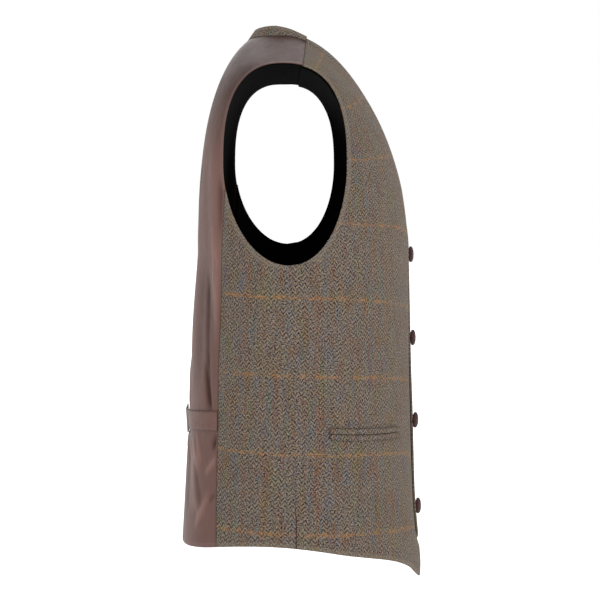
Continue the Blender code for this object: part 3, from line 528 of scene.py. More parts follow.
def joined(spots, start, end):
    """The same line, slid so that it begins at `start` and ends at `end`."""
    s = np.linspace(0.0, 1.0, len(spots))[:, None]
    return spots + (1 - s) * (start - spots[0]) + s * (end - spots[-1])


def hem_line(from_angle, to_angle):
    """The hem between two angles, from its table."""
    angles = np.radians(np.linspace(from_angle, to_angle, OUTLINE_SAMPLES))
    heights = smooth_line(np.degrees(angles), HEM["angle"], HEM["height"])
    return np.stack((angles, heights - CHEST_HEIGHT), axis=-1)


def armhole_side_view(turn):
    """Armhole points (y, z): `turn` is 90 degrees over the shoulder, -90 under the arm, 180 at the front."""
    power = np.where(np.sin(turn) > 0, ARMHOLE_TOP_POWER, ARMHOLE_LOW_POWER)
    radius = (np.abs(np.cos(turn))**power + np.abs(np.sin(turn))**power) ** (1 / power)
    up = np.sin(turn) / radius
    y = ARMHOLE_HALF_WIDTH * np.cos(turn) / radius + ARMHOLE_LOW_SHIFT * np.minimum(up, 0.0)**2
    return np.stack((y, ARMHOLE_HEIGHT + ARMHOLE_HALF_HEIGHT * up), axis=-1)


def rise_guess(height):
    """Rough rise of a point by its height: on the ridge at the shoulder, on the chest line at the armpit."""
    climb = np.arcsin(np.clip((height - CHEST_HEIGHT) / (RIDGE_NECK_HEIGHT - CHEST_HEIGHT), 0.0, 0.98))
    return np.where(height < CHEST_HEIGHT, height - CHEST_HEIGHT, climb * SHOULDER_ARC / (math.pi / 2))


def turn_at(y, from_degrees, to_degrees):
    """Turn along the armhole, between two turns, at which its y is the given one."""
    turns = np.radians(np.linspace(from_degrees, to_degrees, OUTLINE_SAMPLES))
    places = armhole_side_view(turns)[:, 0]
    order = np.argsort(places)
    return float(np.interp(y, places[order], turns[order]))


def armhole_line(from_turn, to_turn, angle_guess, over_shoulder, start, end):
    """Stretch of the armhole; `over_shoulder` measures its rise on over the ridge, from the back."""
    side_view = armhole_side_view(np.linspace(from_turn, to_turn, OUTLINE_SAMPLES))
    rise = rise_guess(side_view[:, 1])
    ahead = over_shoulder & (side_view[:, 0] < RIDGE_Y)
    rise = np.where(ahead, 2 * SHOULDER_ARC - rise, rise)
    return joined(line_spots(side_view, (1, 2), angle_guess, rise), start, end)


def straight(start, end):
    """Evenly spaced places from one to the other."""
    s = np.linspace(0.0, 1.0, OUTLINE_SAMPLES)[:, None]
    return (1 - s) * np.array(start) + s * np.array(end)


def patch(left, right, bottom, top, t, s):
    """Grid of spots between four lines: the two ruled grids, less the one that both hold."""
    s = s[None, :, None]
    t = t[:, None, None]
    across = (1 - s) * left[:, None] + s * right[:, None]
    upward = (1 - t) * bottom[None] + t * top[None]
    low_corners = (1 - s) * bottom[0] + s * bottom[-1]
    high_corners = (1 - s) * top[0] + s * top[-1]
    return across + upward - (1 - t) * low_corners - t * high_corners


def places(count, fine, close):
    """Rows or columns from 0 to `count`, `fine` of them to each, with one more just beside each close place."""
    beside = np.add.outer(np.array(close, dtype=float), (-0.1, 0.1)).ravel()
    found = np.concatenate((np.linspace(0.0, count, count * fine + 1), beside))
    return np.unique(np.round(found[(found >= 0) & (found <= count)], 6))


def hem_foot(angles, y):
    """Spot on the hem, among the given angles in degrees, whose point has the given y."""
    rises = smooth_line(angles, HEM["angle"], HEM["height"]) - CHEST_HEIGHT
    spots = np.stack((np.radians(angles), rises), axis=-1)
    ys = form(spots)[:, 1]
    return np.array((np.interp(y, ys, spots[:, 0]), np.interp(y, ys, spots[:, 1])))


def side_seam_ends():
    """Foot of the side seam on the hem, its top on the armhole, and the armhole's turn at that top."""
    foot = hem_foot(np.linspace(20.0, 60.0, OUTLINE_SAMPLES), SIDE_SEAM["y"][0])
    top_turn = turn_at(SIDE_SEAM["y"][-1], -60.0, -5.0)
    top = spots_at(armhole_side_view(np.array([top_turn])), (1, 2), (0.6, 0.06))[0]
    return foot, top, top_turn


def side_seam_line(foot, top):
    """Side seam from the hem to the armhole, through the rows of its table."""
    heights = np.linspace(SIDE_SEAM["height"][0], SIDE_SEAM["height"][-1], OUTLINE_SAMPLES)
    side_view = np.stack((smooth_line(heights, SIDE_SEAM["height"], SIDE_SEAM["y"]), heights), axis=-1)
    return joined(line_spots(side_view, (1, 2), 0.6, rise_guess(heights)), foot, top)


def front_spots(rows, columns):
    """Grid of the left front, from the front edge to the side seam, and above the armpit to the armhole."""
    tip = np.array((math.radians(HEM["angle"][0]), HEM["height"][0] - CHEST_HEIGHT))
    neck = spots_at([NECK_POINT], (0, 1), (-1.1, 0.9 * SHOULDER_ARC))[0]
    shoulder = spots_at([SHOULDER_POINT], (0, 1), (-0.5, 0.9 * SHOULDER_ARC))[0]
    armpit = spots_at(armhole_side_view(np.array([-math.pi / 2])), (1, 2), (0.1, 0.0))[0]
    seam_foot, seam_top, seam_top_turn = side_seam_ends()

    s = np.linspace(0.0, 1.0, OUTLINE_SAMPLES)[:, None]
    tip_point = form(tip)[[0, 2]]
    bend = np.array(CUTAWAY_BEND)
    cut_top = np.array((-CUTAWAY_LAP, CUTAWAY_HEIGHT))
    cutaway = (1 - s)**2 * tip_point + 2 * s * (1 - s) * bend + s**2 * cut_top
    cutaway = line_spots(cutaway, (0, 2), -1.5, cutaway[:, 1] - CHEST_HEIGHT)
    edge = straight(cut_top, (-V_LAP, V_HEIGHT))
    edge = line_spots(edge, (0, 2), -1.7, edge[:, 1] - CHEST_HEIGHT)
    heights = np.linspace(V_HEIGHT, NECKLINE["height"][-1], OUTLINE_SAMPLES)
    neckline = np.stack((smooth_line(heights, NECKLINE["height"], NECKLINE["x"]), heights), axis=-1)
    neckline = line_spots(neckline, (0, 2), -1.4, rise_guess(heights))
    left = ((joined(cutaway, tip, edge[0]), CUTAWAY_ROWS), (edge, EDGE_ROWS),
            (joined(neckline, edge[-1], neck), ARM_ROWS))

    underarm_foot = hem_foot(np.linspace(-20.0, 20.0, OUTLINE_SAMPLES), form(armpit)[1])
    underarm = straight(underarm_foot, armpit)
    top_turn = turn_at(SHOULDER_POINT[1], 90.0, 150.0)
    front_arm = armhole_line(-math.pi / 2, top_turn - 2 * math.pi, -0.6, False, armpit, shoulder)
    seam = side_seam_line(seam_foot, seam_top)
    low_arm = armhole_line(-math.pi / 2, seam_top_turn, 0.4, False, armpit, seam_top)
    shoulder_seam = spots_at(straight(NECK_POINT, SHOULDER_POINT), (0, 1), np.linspace(neck, shoulder, len(s)))

    foot_angle = math.degrees(underarm_foot[0])
    main_columns = columns[columns <= FRONT_COLUMNS]
    under_columns = columns[columns >= FRONT_COLUMNS] - FRONT_COLUMNS
    low_rows = rows[rows <= LOW_ROWS]
    across = main_columns / FRONT_COLUMNS
    main = patch(
        chain(left, rows),
        chain(((underarm, LOW_ROWS), (front_arm, ARM_ROWS)), rows),
        at(hem_line(HEM["angle"][0], foot_angle), across),
        at(shoulder_seam, across),
        rows / ALL_ROWS,
        across,
    )
    upward = low_rows / LOW_ROWS
    across = under_columns / UNDERARM_COLUMNS
    under = patch(
        at(underarm, upward),
        at(seam, upward),
        at(hem_line(foot_angle, math.degrees(seam_foot[0])), across),
        at(low_arm, across),
        upward,
        across,
    )
    grid = np.full((len(rows), len(columns), 2), np.nan)
    grid[:, :len(main_columns)] = main
    grid[:len(low_rows), len(main_columns) - 1:] = under
    return grid


def neck_curve(samples):
    """Back neck (x, y): straight from the shoulder seam to the ridge, then a quarter superellipse."""
    ahead = np.linspace(NECK_POINT, (NECK_HALF_WIDTH, RIDGE_Y), samples)[:-1]
    turn = np.linspace(0.0, math.pi / 2, samples)
    x = NECK_HALF_WIDTH * np.abs(np.cos(turn)) ** (2 / NECK_POWER)
    y = RIDGE_Y + (NAPE_Y - RIDGE_Y) * np.sin(turn) ** (2 / NECK_POWER)
    return np.concatenate((ahead, np.stack((x, y), axis=-1)))


def back_spots(rows, columns):
    """Grid of the left back, from the side seam to the centre back seam.

    Its top is the shoulder seam, and the neck takes a corner out of it: side rows first, then back columns.
    """
    seam_foot, seam_top, seam_top_turn = side_seam_ends()
    shoulder = spots_at([SHOULDER_POINT], (0, 1), (0.5, 1.1 * SHOULDER_ARC))[0]
    neck = spots_at([NECK_POINT], (0, 1), (1.1, 1.1 * SHOULDER_ARC))[0]
    top_turn = turn_at(SHOULDER_POINT[1], 90.0, 150.0)
    arm = armhole_line(seam_top_turn, top_turn, 0.5, True, seam_top, shoulder)
    shoulder_seam = spots_at(
        straight(SHOULDER_POINT, NECK_POINT), (0, 1), np.linspace(shoulder, neck, OUTLINE_SAMPLES))
    plan = neck_curve(OUTLINE_SAMPLES)
    climb = np.linspace(neck, (math.pi / 2, 0.85 * SHOULDER_ARC), len(plan))
    neck_line = spots_at(plan[:-1], (0, 1), climb[:-1])
    neck_line = joined(neck_line, neck, neck_line[-1])
    nape_rise = spots_at([(1e-4, NAPE_Y)], (0, 1), (1.5, 0.85 * SHOULDER_ARC))[0, 1]
    nape = np.array((math.pi / 2, nape_rise))
    neck_line = np.concatenate((neck_line, nape[None]))
    centre_foot = np.array((math.pi / 2, HEM["height"][-1] - CHEST_HEIGHT))
    hem = hem_line(math.degrees(seam_foot[0]), 90.0)

    all_columns = SEAM_COLUMNS + NECK_COLUMNS
    neck_places = NECK_ROWS + NECK_COLUMNS
    corner = at(neck_line, [NECK_ROWS / neck_places])[0]
    hem_corner = at(hem, [SEAM_COLUMNS / all_columns])[0]
    middle = straight(hem_corner, corner)
    outer_columns = columns[columns <= SEAM_COLUMNS]
    inner_columns = columns[columns >= SEAM_COLUMNS]
    low_rows = rows[rows <= NECK_ROW]
    high_rows = rows[rows > NECK_ROW]
    across = outer_columns / SEAM_COLUMNS
    outer = patch(
        chain(((side_seam_line(seam_foot, seam_top), LOW_ROWS), (arm, ARM_ROWS)), rows),
        np.concatenate((at(middle, low_rows / NECK_ROW), at(neck_line, (ALL_ROWS - high_rows) / neck_places))),
        at(hem, outer_columns / all_columns),
        at(shoulder_seam, across),
        rows / ALL_ROWS,
        across,
    )
    inner = patch(
        at(middle, low_rows / NECK_ROW),
        at(straight(centre_foot, nape), low_rows / NECK_ROW),
        at(hem, inner_columns / all_columns),
        at(neck_line, (NECK_ROWS + inner_columns - SEAM_COLUMNS) / neck_places),
        low_rows / NECK_ROW,
        (inner_columns - SEAM_COLUMNS) / NECK_COLUMNS,
    )
    grid = np.full((len(rows), len(columns), 2), np.nan)
    grid[:, :len(outer_columns)] = outer
    grid[:len(low_rows), len(outer_columns) - 1:] = inner
    return grid


# ---- Cloth --------------------------------------------------------------------------------------------------

def raise_collar(points, normals, columns):
    """Stand the front's neck edge up against the neck near the shoulder, where the neck band meets it.

    The rise is whole on the edge and fades to nothing over the first column.
    """
    fade = 1 - ease(NECKLINE["height"][-1] - points[:, :1, 2], 0.0, COLLAR_FADE)
    fade = (fade * (1 - np.clip(columns, 0.0, 1.0))[None])[..., None]
    rise = np.array((-COLLAR_RISE * math.sin(BAND_LEAN), -COLLAR_FORWARD, COLLAR_RISE * math.cos(BAND_LEAN)))
    facing = np.array((math.cos(BAND_LEAN), 0.0, math.sin(BAND_LEAN)))
    return points + fade * rise, unit(normals * (1 - fade) + facing * fade)


def sample(grid, rows, columns):
    """Values of a grid between its rows and columns, mixed from the four nearest."""
    rows = np.asarray(rows, dtype=float)
    columns = np.asarray(columns, dtype=float)
    row = np.clip(np.floor(rows).astype(int), 0, grid.shape[0] - 2)
    column = np.clip(np.floor(columns).astype(int), 0, grid.shape[1] - 2)
    t = (rows - row)[..., None]
    s = (columns - column)[..., None]
    low, high = (
        np.where(s > 0, (1 - s) * grid[near, column] + s * grid[near, column + 1], grid[near, column])
        for near in (row, row + 1))
    return np.where(t > 0, (1 - t) * low + t * high, low)


def cells(points):
    """Quads of a grid whose four points all exist, each turned outwards, as indices into the flat grid."""
    rows, columns = points.shape[:2]
    index = np.arange(rows * columns).reshape(rows, columns)
    quads = np.stack((index[:-1, :-1], index[:-1, 1:], index[1:, 1:], index[1:, :-1]), axis=-1).reshape(-1, 4)
    exists = np.isfinite(points.reshape(-1, 3)[:, 0])
    return quads[exists[quads].all(axis=1)]


def rim_of(quads, count):
    """Directed edges that only one quad has, in that quad's direction."""
    edges = np.concatenate([quads[:, (k, (k + 1) % 4)] for k in range(4)])
    alone = ~np.isin(edges[:, 0] * count + edges[:, 1], edges[:, 1] * count + edges[:, 0])
    return edges[alone]


def inward_at(flat, quads, rim):
    """Direction into the cloth at each rim edge's start: towards the near quads, at right angles to the rim."""
    count = len(flat)
    after = np.zeros(count, dtype=int)
    before = np.zeros(count, dtype=int)
    after[rim[:, 0]] = rim[:, 1]
    before[rim[:, 1]] = rim[:, 0]
    total = np.zeros((count, 3))
    number = np.zeros(count)
    middles = flat[quads].mean(axis=1)
    for corner in range(4):
        np.add.at(total, quads[:, corner], middles)
        np.add.at(number, quads[:, corner], 1)
    start = rim[:, 0]
    tangent = unit(flat[after[start]] - flat[before[start]])
    inward = total[start] / number[start][:, None] - flat[start]
    inward -= tangent * (inward * tangent).sum(axis=1, keepdims=True)
    return unit(inward)


def show(name, data):
    """Object in the scene with the given mesh, light or camera."""
    made = bpy.data.objects.new(name, data)
    bpy.context.scene.collection.objects.link(made)
    return made


def new_mesh(name, points, faces, material):
    """Smooth mesh of the given points and lists of corners."""
    mesh = bpy.data.meshes.new(name)
    mesh.from_pydata(points.tolist(), [], faces)
    mesh.materials.append(material)
    mesh.shade_smooth()
    return mesh


def set_mark(mesh, mark, values):
    """Attribute with one number for each point of the mesh."""
    layer = mesh.attributes.new(mark, "FLOAT", "POINT")
    layer.data.foreach_set("value", values.astype(np.float32))


def put_mesh(name, points, faces, material, thread=None, marks=None, mirrored=False, lined=None):
    """Mesh object of all the given quads; the thread places become its map, and the marks its attributes.

    The faces that are lined have the black lining on them.
    """
    if mirrored:
        points = points * (-1, 1, 1)
        faces = faces[:, ::-1]
    used, renumbered = np.unique(faces.ravel(), return_inverse=True)
    faces = renumbered.reshape(faces.shape)
    mesh = new_mesh(name, points[used], faces.tolist(), material)
    if thread is not None:
        layer = mesh.uv_layers.new(name="cloth")
        layer.data.foreach_set("uv", thread[used][faces.ravel()].astype(np.float32).ravel())
    for mark, values in (marks or {}).items():
        set_mark(mesh, mark, values[used])
    if lined is not None:
        mesh.materials.append(black_lining)
        mesh.polygons.foreach_set("material_index", lined.astype(np.int32))
    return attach(show(name, mesh), "root")


# The rim's profile, in parts of the wall: how far in from the edge, and how far under the outer face
RIM = ((0.15, 0.00), (0.045, 0.09), (0.00, 0.50), (0.045, 0.91), (0.15, 1.00))


def cloth_shell(name, points, normals, material, wall, thread, marks, lift=0.0, mirrored=False, lined=None):
    """Closed sheet of cloth on a grid of points.

    The outer face lies `lift` outside the points and the inner face a wall further in, both along the normals.
    On the rim five loops of points carry a round profile from one face to the other, and the middle one is the
    edge itself, so that two panels meet at their seam. `lined` marks the points whose inner face has the lining
    on it, up to the middle of the rim.
    """
    quads = cells(points)
    flat = points.reshape(-1, 3)
    outward = normals.reshape(-1, 3)
    count = len(flat)
    rim = rim_of(quads, count)
    inward = inward_at(flat, quads, rim)
    start, end = rim.T
    loops = [
        flat[start] + inward * inset * wall + outward[start] * (lift - depth * wall) for inset, depth in RIM]
    outer = flat + outward * lift
    inner = flat + outward * (lift - wall)
    outer[start] = loops[0]
    inner[start] = loops[-1]
    all_points = np.concatenate([outer, inner] + loops[1:-1])
    place = np.zeros(count, dtype=int)
    place[start] = np.arange(len(start))
    starts, ends = (
        [corner] + [2 * count + k * len(start) + place[corner] for k in range(3)] + [corner + count]
        for corner in (start, end))
    bands = [np.stack((ends[k], starts[k], starts[k + 1], ends[k + 1]), axis=-1) for k in range(4)]
    faces = np.concatenate([quads, quads[:, ::-1] + count] + bands)
    origin = np.concatenate([np.arange(count), np.arange(count)] + [start] * 3)
    lined_faces = None
    if lined is not None:
        lined_faces = np.zeros(len(faces), dtype=bool)
        lined_faces[len(quads):2 * len(quads)] = lined.reshape(-1)[quads].all(axis=1)
        lined_faces[-2 * len(rim):] = np.tile(lined.reshape(-1)[rim].all(axis=1), 2)
    return put_mesh(name, all_points, faces, material, thread.reshape(-1, 2)[origin],
                    {mark: values.reshape(-1)[origin] for mark, values in marks.items()}, mirrored, lined_faces)


def across_line(points, line, axis):
    """Distance of each point of a grid from an edge line, at right angles to it within `SQUARE_REACH`."""
    tangent = unit(np.gradient(line, axis=axis))
    away = points - line
    chord = np.linalg.norm(away, axis=-1)
    across = np.linalg.norm(np.cross(away, tangent), axis=-1)
    return np.where(chord < SQUARE_REACH, across, chord)


def run_along(line, axis):
    """Length along a line from its start."""
    steps = np.linalg.norm(np.diff(line, axis=axis), axis=-1)
    start = np.zeros_like(np.take(steps, [0], axis=axis))
    return np.concatenate((start, np.cumsum(steps, axis=axis)), axis=axis)


def edge_marks(points, edges, seams):
    """Marks of a panel: distance from its nearest finished edge, length along that edge, distance from a seam.

    An edge or seam is a line of the grid: its axis, its place, and the rows and columns that it serves.
    """
    shape = points.shape[:2]
    edge = np.full(shape, 1.0)
    run = np.zeros(shape)
    seam = np.full(shape, 1.0)
    for group, lines in (("edge", edges), ("seam", seams)):
        for axis, place, rows, columns in lines:
            block = points[rows, columns]
            if axis == 0:
                line = points[rows, place][:, None]
            else:
                line = points[place, columns][None]
            away = across_line(block, line, axis)
            length = np.broadcast_to(run_along(line, axis), away.shape)
            if group == "edge":
                nearer = away < edge[rows, columns]
                run[rows, columns] = np.where(nearer, length, run[rows, columns])
                edge[rows, columns] = np.where(nearer, away, edge[rows, columns])
            else:
                seam[rows, columns] = np.fmin(seam[rows, columns], away)
    return {"edge": edge, "run": run, "seam": seam}


def thread_places(spots):
    """Places on the flat cloth: length round the chest line, and rise with the drop of level threads."""
    round_chest = form(np.stack((CHEST_ANGLES, np.zeros(len(CHEST_ANGLES))), axis=-1))
    run = np.concatenate(((0.0,), np.cumsum(np.linalg.norm(np.diff(round_chest, axis=0), axis=1))))
    angle = spots[..., 0]
    u = np.interp(angle, CHEST_ANGLES, run) - np.interp(math.radians(THREAD_ZERO_ANGLE), CHEST_ANGLES, run)
    v = spots[..., 1] + smooth_line(np.degrees(angle), THREAD_DROP["angle"], THREAD_DROP["drop"])
    return np.where(np.isfinite(spots), np.stack((u, v), axis=-1), 0.0)


def index_of(places_held, wanted):
    """Where the wanted rows or columns lie among a grid's own ones, as a number with a fraction."""
    return np.interp(wanted, places_held, np.arange(len(places_held)))


def make_fronts():
    """Points, normals, thread places and marks of both fronts, on the left side, and their rows and columns."""
    all_columns = FRONT_COLUMNS + UNDERARM_COLUMNS
    rows = places(ALL_ROWS, FRONT_FINE, (0, LOW_ROWS, ALL_ROWS))
    columns = places(all_columns, FRONT_FINE, (0, FRONT_COLUMNS, all_columns))
    spots = front_spots(rows, columns)
    smooth_points, normals = raise_collar(form(spots), form_normals(spots), columns)
    thread = thread_places(spots)
    low = int(index_of(rows, LOW_ROWS))
    arm = int(index_of(columns, FRONT_COLUMNS))
    every = slice(None)
    edges = (
        (0, 0, every, slice(0, arm + 1)),
        (1, 0, slice(0, low + 1), every),
        (0, arm, slice(low, None), slice(0, arm + 1)),
        (1, low, slice(0, low + 1), slice(arm, None)),
    )
    seams = (
        (0, len(columns) - 1, slice(0, low + 1), slice(arm, None)),
        (1, len(rows) - 1, every, slice(0, arm + 1)),
    )
    from_dart = (np.degrees(spots[..., 0]) - DART_ANGLE) * METRES_A_DEGREE
    over_dart = np.maximum(CHEST_HEIGHT + spots[..., 1] - DART_HEIGHT, 0.0)
    fronts = {}
    for side, name in ((1, "right"), (-1, "left")):
        points = smooth_points + normals * crease_depth(spots, TWEED_CREASES, side)[..., None]
        if name == "right":
            points = points - normals * tuck_depth(smooth_points)[..., None]
        marks = edge_marks(points, edges, seams)
        marks["dart"] = np.copysign(np.hypot(from_dart, over_dart), from_dart)
        fronts[name] = (points, normals, thread, marks, rows, columns)
    return fronts


def make_backs():
    """Points, normals, thread places and marks of both backs, on the left side, and their rows and columns."""
    all_columns = SEAM_COLUMNS + NECK_COLUMNS
    rows = places(ALL_ROWS, BACK_FINE, (0, ALL_ROWS))
    columns = places(all_columns, BACK_FINE, (0, all_columns))
    spots = back_spots(rows, columns)
    normals = form_normals(spots)
    thread = thread_places(spots)
    angle = np.degrees(spots[..., 0])
    height = CHEST_HEIGHT + spots[..., 1]
    strap = STRAP_SEAM_HEIGHT + (STRAP_CENTRE_HEIGHT - STRAP_SEAM_HEIGHT) * (columns / columns[-1])[None]
    pressed = 1 - ease(np.abs(height - strap), *PRESSED_FLAT)
    inside_edges = ease(angle, *CREASES_FROM_ANGLE) * ease(90 - angle, *CREASES_OFF_CENTRE)
    folds = fold_depth(spots)
    low = int(index_of(rows, LOW_ROWS))
    neck = int(index_of(columns, SEAM_COLUMNS))
    corner = int(index_of(rows, NECK_ROW))
    every = slice(None)
    edges = ((0, 0, slice(low, None), slice(0, neck + 1)), (1, 0, slice(0, corner + 1), every))
    seams = (
        (0, 0, slice(0, low + 1), every),
        (0, len(columns) - 1, slice(0, corner + 1), slice(neck, None)),
        (1, len(rows) - 1, every, slice(0, neck + 1)),
        (1, corner, slice(0, corner + 1), slice(neck, None)),
    )
    backs = {}
    for side, name in ((1, "right"), (-1, "left")):
        fine = crease_depth(spots, SATIN_CREASES, side) * (1 - pressed) * inside_edges
        fine = fine * ease(columns, *CREASES_OFF_SEAM)
        points = form(spots) + normals * (folds * ease(columns, *FOLDS_OFF_SEAM) + fine)[..., None]
        marks = edge_marks(points, edges, seams)
        # Painted shade for the satin: by the height of its creases and part of each fold, and darker over the
        # shoulders
        shade = SHOULDER_SHADE * ease(points[..., 2], SHOULDER_SHADE_FROM, SHOULDER_SHADE_FULL)
        marks["crease"] = np.where(np.isfinite(angle), fine + folds * FOLD_SHADE + shade, 0.0)
        backs[name] = (points, normals, thread, marks, rows, columns)
    return backs


def dress_panels(fronts, backs):
    """The four outer panels, black inside but for a tweed facing along each front edge."""
    made = {}
    for side, mirrored in (("right", True), ("left", False)):
        for part, panel, cloth, material, wall, black_from in (
            ("front", fronts[side], "tweed", tweed, TWEED_WALL, LINING_EDGE_COLUMNS),
            ("back", backs[side], "satin", satin, SATIN_WALL, 0.0),
        ):
            points, normals, thread, marks, _, columns = panel
            marks = {mark: np.nan_to_num(values, nan=1.0) for mark, values in marks.items()}
            made["%s_%s" % (part, side)] = cloth_shell(
                "%s_%s_%s" % (cloth, part, side), points, normals, material, wall, thread, marks,
                mirrored=mirrored, lined=np.broadcast_to(columns >= black_from, points.shape[:2]))
    return made


def front_lining_places():
    """Rows and columns of the front lining on the front: clear of the lapped edge, the armhole and the hem."""
    low = np.linspace(LINING_HEM_ROWS, LOW_ROWS, LOW_ROWS * LINING_FINE)
    high = np.linspace(LOW_ROWS, ALL_ROWS, ARM_ROWS * LINING_FINE + 1)[1:]
    main = np.linspace(LINING_EDGE_COLUMNS, FRONT_COLUMNS, LINING_MAIN_COLUMNS * LINING_FINE)
    under = np.linspace(FRONT_COLUMNS, FRONT_COLUMNS + UNDERARM_COLUMNS, UNDERARM_COLUMNS * LINING_FINE + 1)[1:]
    columns, rows = np.meshgrid(np.concatenate((main, under)), np.concatenate((low, high)))
    missing = (rows > LOW_ROWS) & (columns > FRONT_COLUMNS)
    share = (columns - LINING_EDGE_COLUMNS) / (FRONT_COLUMNS - LINING_EDGE_COLUMNS)
    inset = LINING_ARM_INSET * np.clip(rows - LOW_ROWS, 0.0, 1.0) * np.clip(share, 0.0, 1.0)
    share = (columns - LINING_DROP_COLUMN) / (FRONT_COLUMNS - LINING_DROP_COLUMN)
    drop = LINING_ARM_INSET * np.clip((rows - LOW_ROWS + 2) / 2, 0.0, 1.0) * np.clip(share, 0.0, 1.0)
    rows = np.where(rows <= LOW_ROWS, rows - drop, rows)
    return rows, columns - inset, missing


def back_lining_places():
    """Rows and columns of the back lining on the back: clear of the armhole, the hem and the neck band."""
    low = np.linspace(LINING_HEM_ROWS, NECK_ROW, NECK_ROW * LINING_FINE)
    high = np.linspace(NECK_ROW, ALL_ROWS, NECK_ROWS * LINING_FINE + 1)[1:]
    all_columns = SEAM_COLUMNS + NECK_COLUMNS
    across = np.linspace(0.0, all_columns, all_columns * LINING_FINE + 1)
    columns, rows = np.meshgrid(across, np.concatenate((low, high)))
    missing = (rows > NECK_ROW) & (columns > SEAM_COLUMNS)
    near_neck = np.clip(rows - NECK_ROW + 1, 0.0, 1.0) * np.clip(columns - SEAM_COLUMNS + 1, 0.0, 1.0)
    inset = LINING_NECK_INSET * near_neck * (columns <= SEAM_COLUMNS)
    drop = LINING_NECK_INSET * near_neck * np.clip(1 - (rows - NECK_ROW), 0.0, 1.0)
    at_side = np.where(rows > LOW_ROWS, LINING_ARM_INSET, LINING_SEAM_INSET) * np.clip(1 - columns, 0.0, 1.0)
    return rows - drop, columns - inset + at_side, missing


def dress_lining(fronts, backs):
    """Black lining just inside the panels."""
    made = {}
    for side, mirrored in (("right", True), ("left", False)):
        for part, panel, wanted, wall in (
            ("front", fronts[side], front_lining_places(), TWEED_WALL),
            ("back", backs[side], back_lining_places(), SATIN_WALL),
        ):
            points, normals, thread, _, rows, columns = panel
            wanted_rows, wanted_columns, missing = wanted
            at_rows = np.where(missing, 0.0, index_of(rows, wanted_rows))
            at_columns = np.where(missing, 0.0, index_of(columns, wanted_columns))
            lining_points = sample(points, at_rows, at_columns)
            lining_points[missing] = np.nan
            made["lining_%s_%s" % (part, side)] = cloth_shell(
                "lining_%s_%s_cloth" % (part, side), lining_points, unit(sample(normals, at_rows, at_columns)),
                black_lining, LINING_WALL, sample(thread, at_rows, at_columns), {},
                lift=-wall - LINING_GAP, mirrored=mirrored)
    return made


def dress_neck_band(backs):
    """Strip on the back neck: its foot follows the backs' neck edges, and it leans in over the neck."""
    points, _, _, _, rows, columns = backs["left"]
    corner = int(index_of(rows, NECK_ROW))
    side = int(index_of(columns, SEAM_COLUMNS))
    foot = np.concatenate((points[:corner:-1, side], points[corner, side:]))
    foot[0] += BAND_END_LAP * unit(foot[0] - foot[1])
    foot = np.concatenate((foot, foot[-2::-1] * (-1, 1, 1)))
    tangent = unit(np.gradient(foot, axis=0) * (1, 1, 0))
    outward = np.cross(tangent, (0.0, 0.0, 1.0))
    up = np.array((0.0, 0.0, 1.0))
    lean = up * math.cos(BAND_LEAN) - outward * math.sin(BAND_LEAN)
    facing = up * math.sin(BAND_LEAN) + outward * math.cos(BAND_LEAN)
    run = run_along(foot, 0)
    from_end = np.minimum(run, run[-1] - run)
    height = BAND_FRONT_HEIGHT + (BAND_HEIGHT - BAND_FRONT_HEIGHT) * ease(from_end, 0.0, BAND_TAPER)
    steps = np.linspace(BAND_FOOT_GAP / BAND_HEIGHT, 1.0, BAND_ROWS)
    up_band = height[None, :] * steps[:, None]
    band = foot[None] + lean[None] * up_band[..., None]
    band_run = np.broadcast_to(run, up_band.shape)
    marks = {
        "edge": height[None, :] - up_band, "run": band_run, "seam": up_band, "dart": np.ones(up_band.shape)}
    return cloth_shell("tweed_neck_band", band, np.broadcast_to(facing, band.shape), tweed, TWEED_WALL,
                       np.stack((band_run, up_band), axis=-1) + BAND_CLOTH, marks)


# ---- What lies on the panels --------------------------------------------------------------------------------

def rows_at_height(points, columns, heights):
    """Row at which each column of a panel reaches a height: between two rows, in proportion."""
    lines = sample(points, np.arange(len(points))[:, None], columns[None, :])[..., 2]
    row = (lines < heights).sum(axis=0) - 1
    which = np.arange(len(columns))
    return row + (heights - lines[row, which]) / (lines[row + 1, which] - lines[row, which])


def column_at(points, axis, value, height):
    """Column of a panel at which its line of the given height has the wanted coordinate."""
    columns = np.linspace(0.0, points.shape[1] - 1.0, 4 * points.shape[1])
    rows = rows_at_height(points, columns, np.full(len(columns), height))
    ys = sample(points, rows, columns)[:, axis]
    order = np.argsort(ys)
    return float(np.interp(value, ys[order], columns[order]))


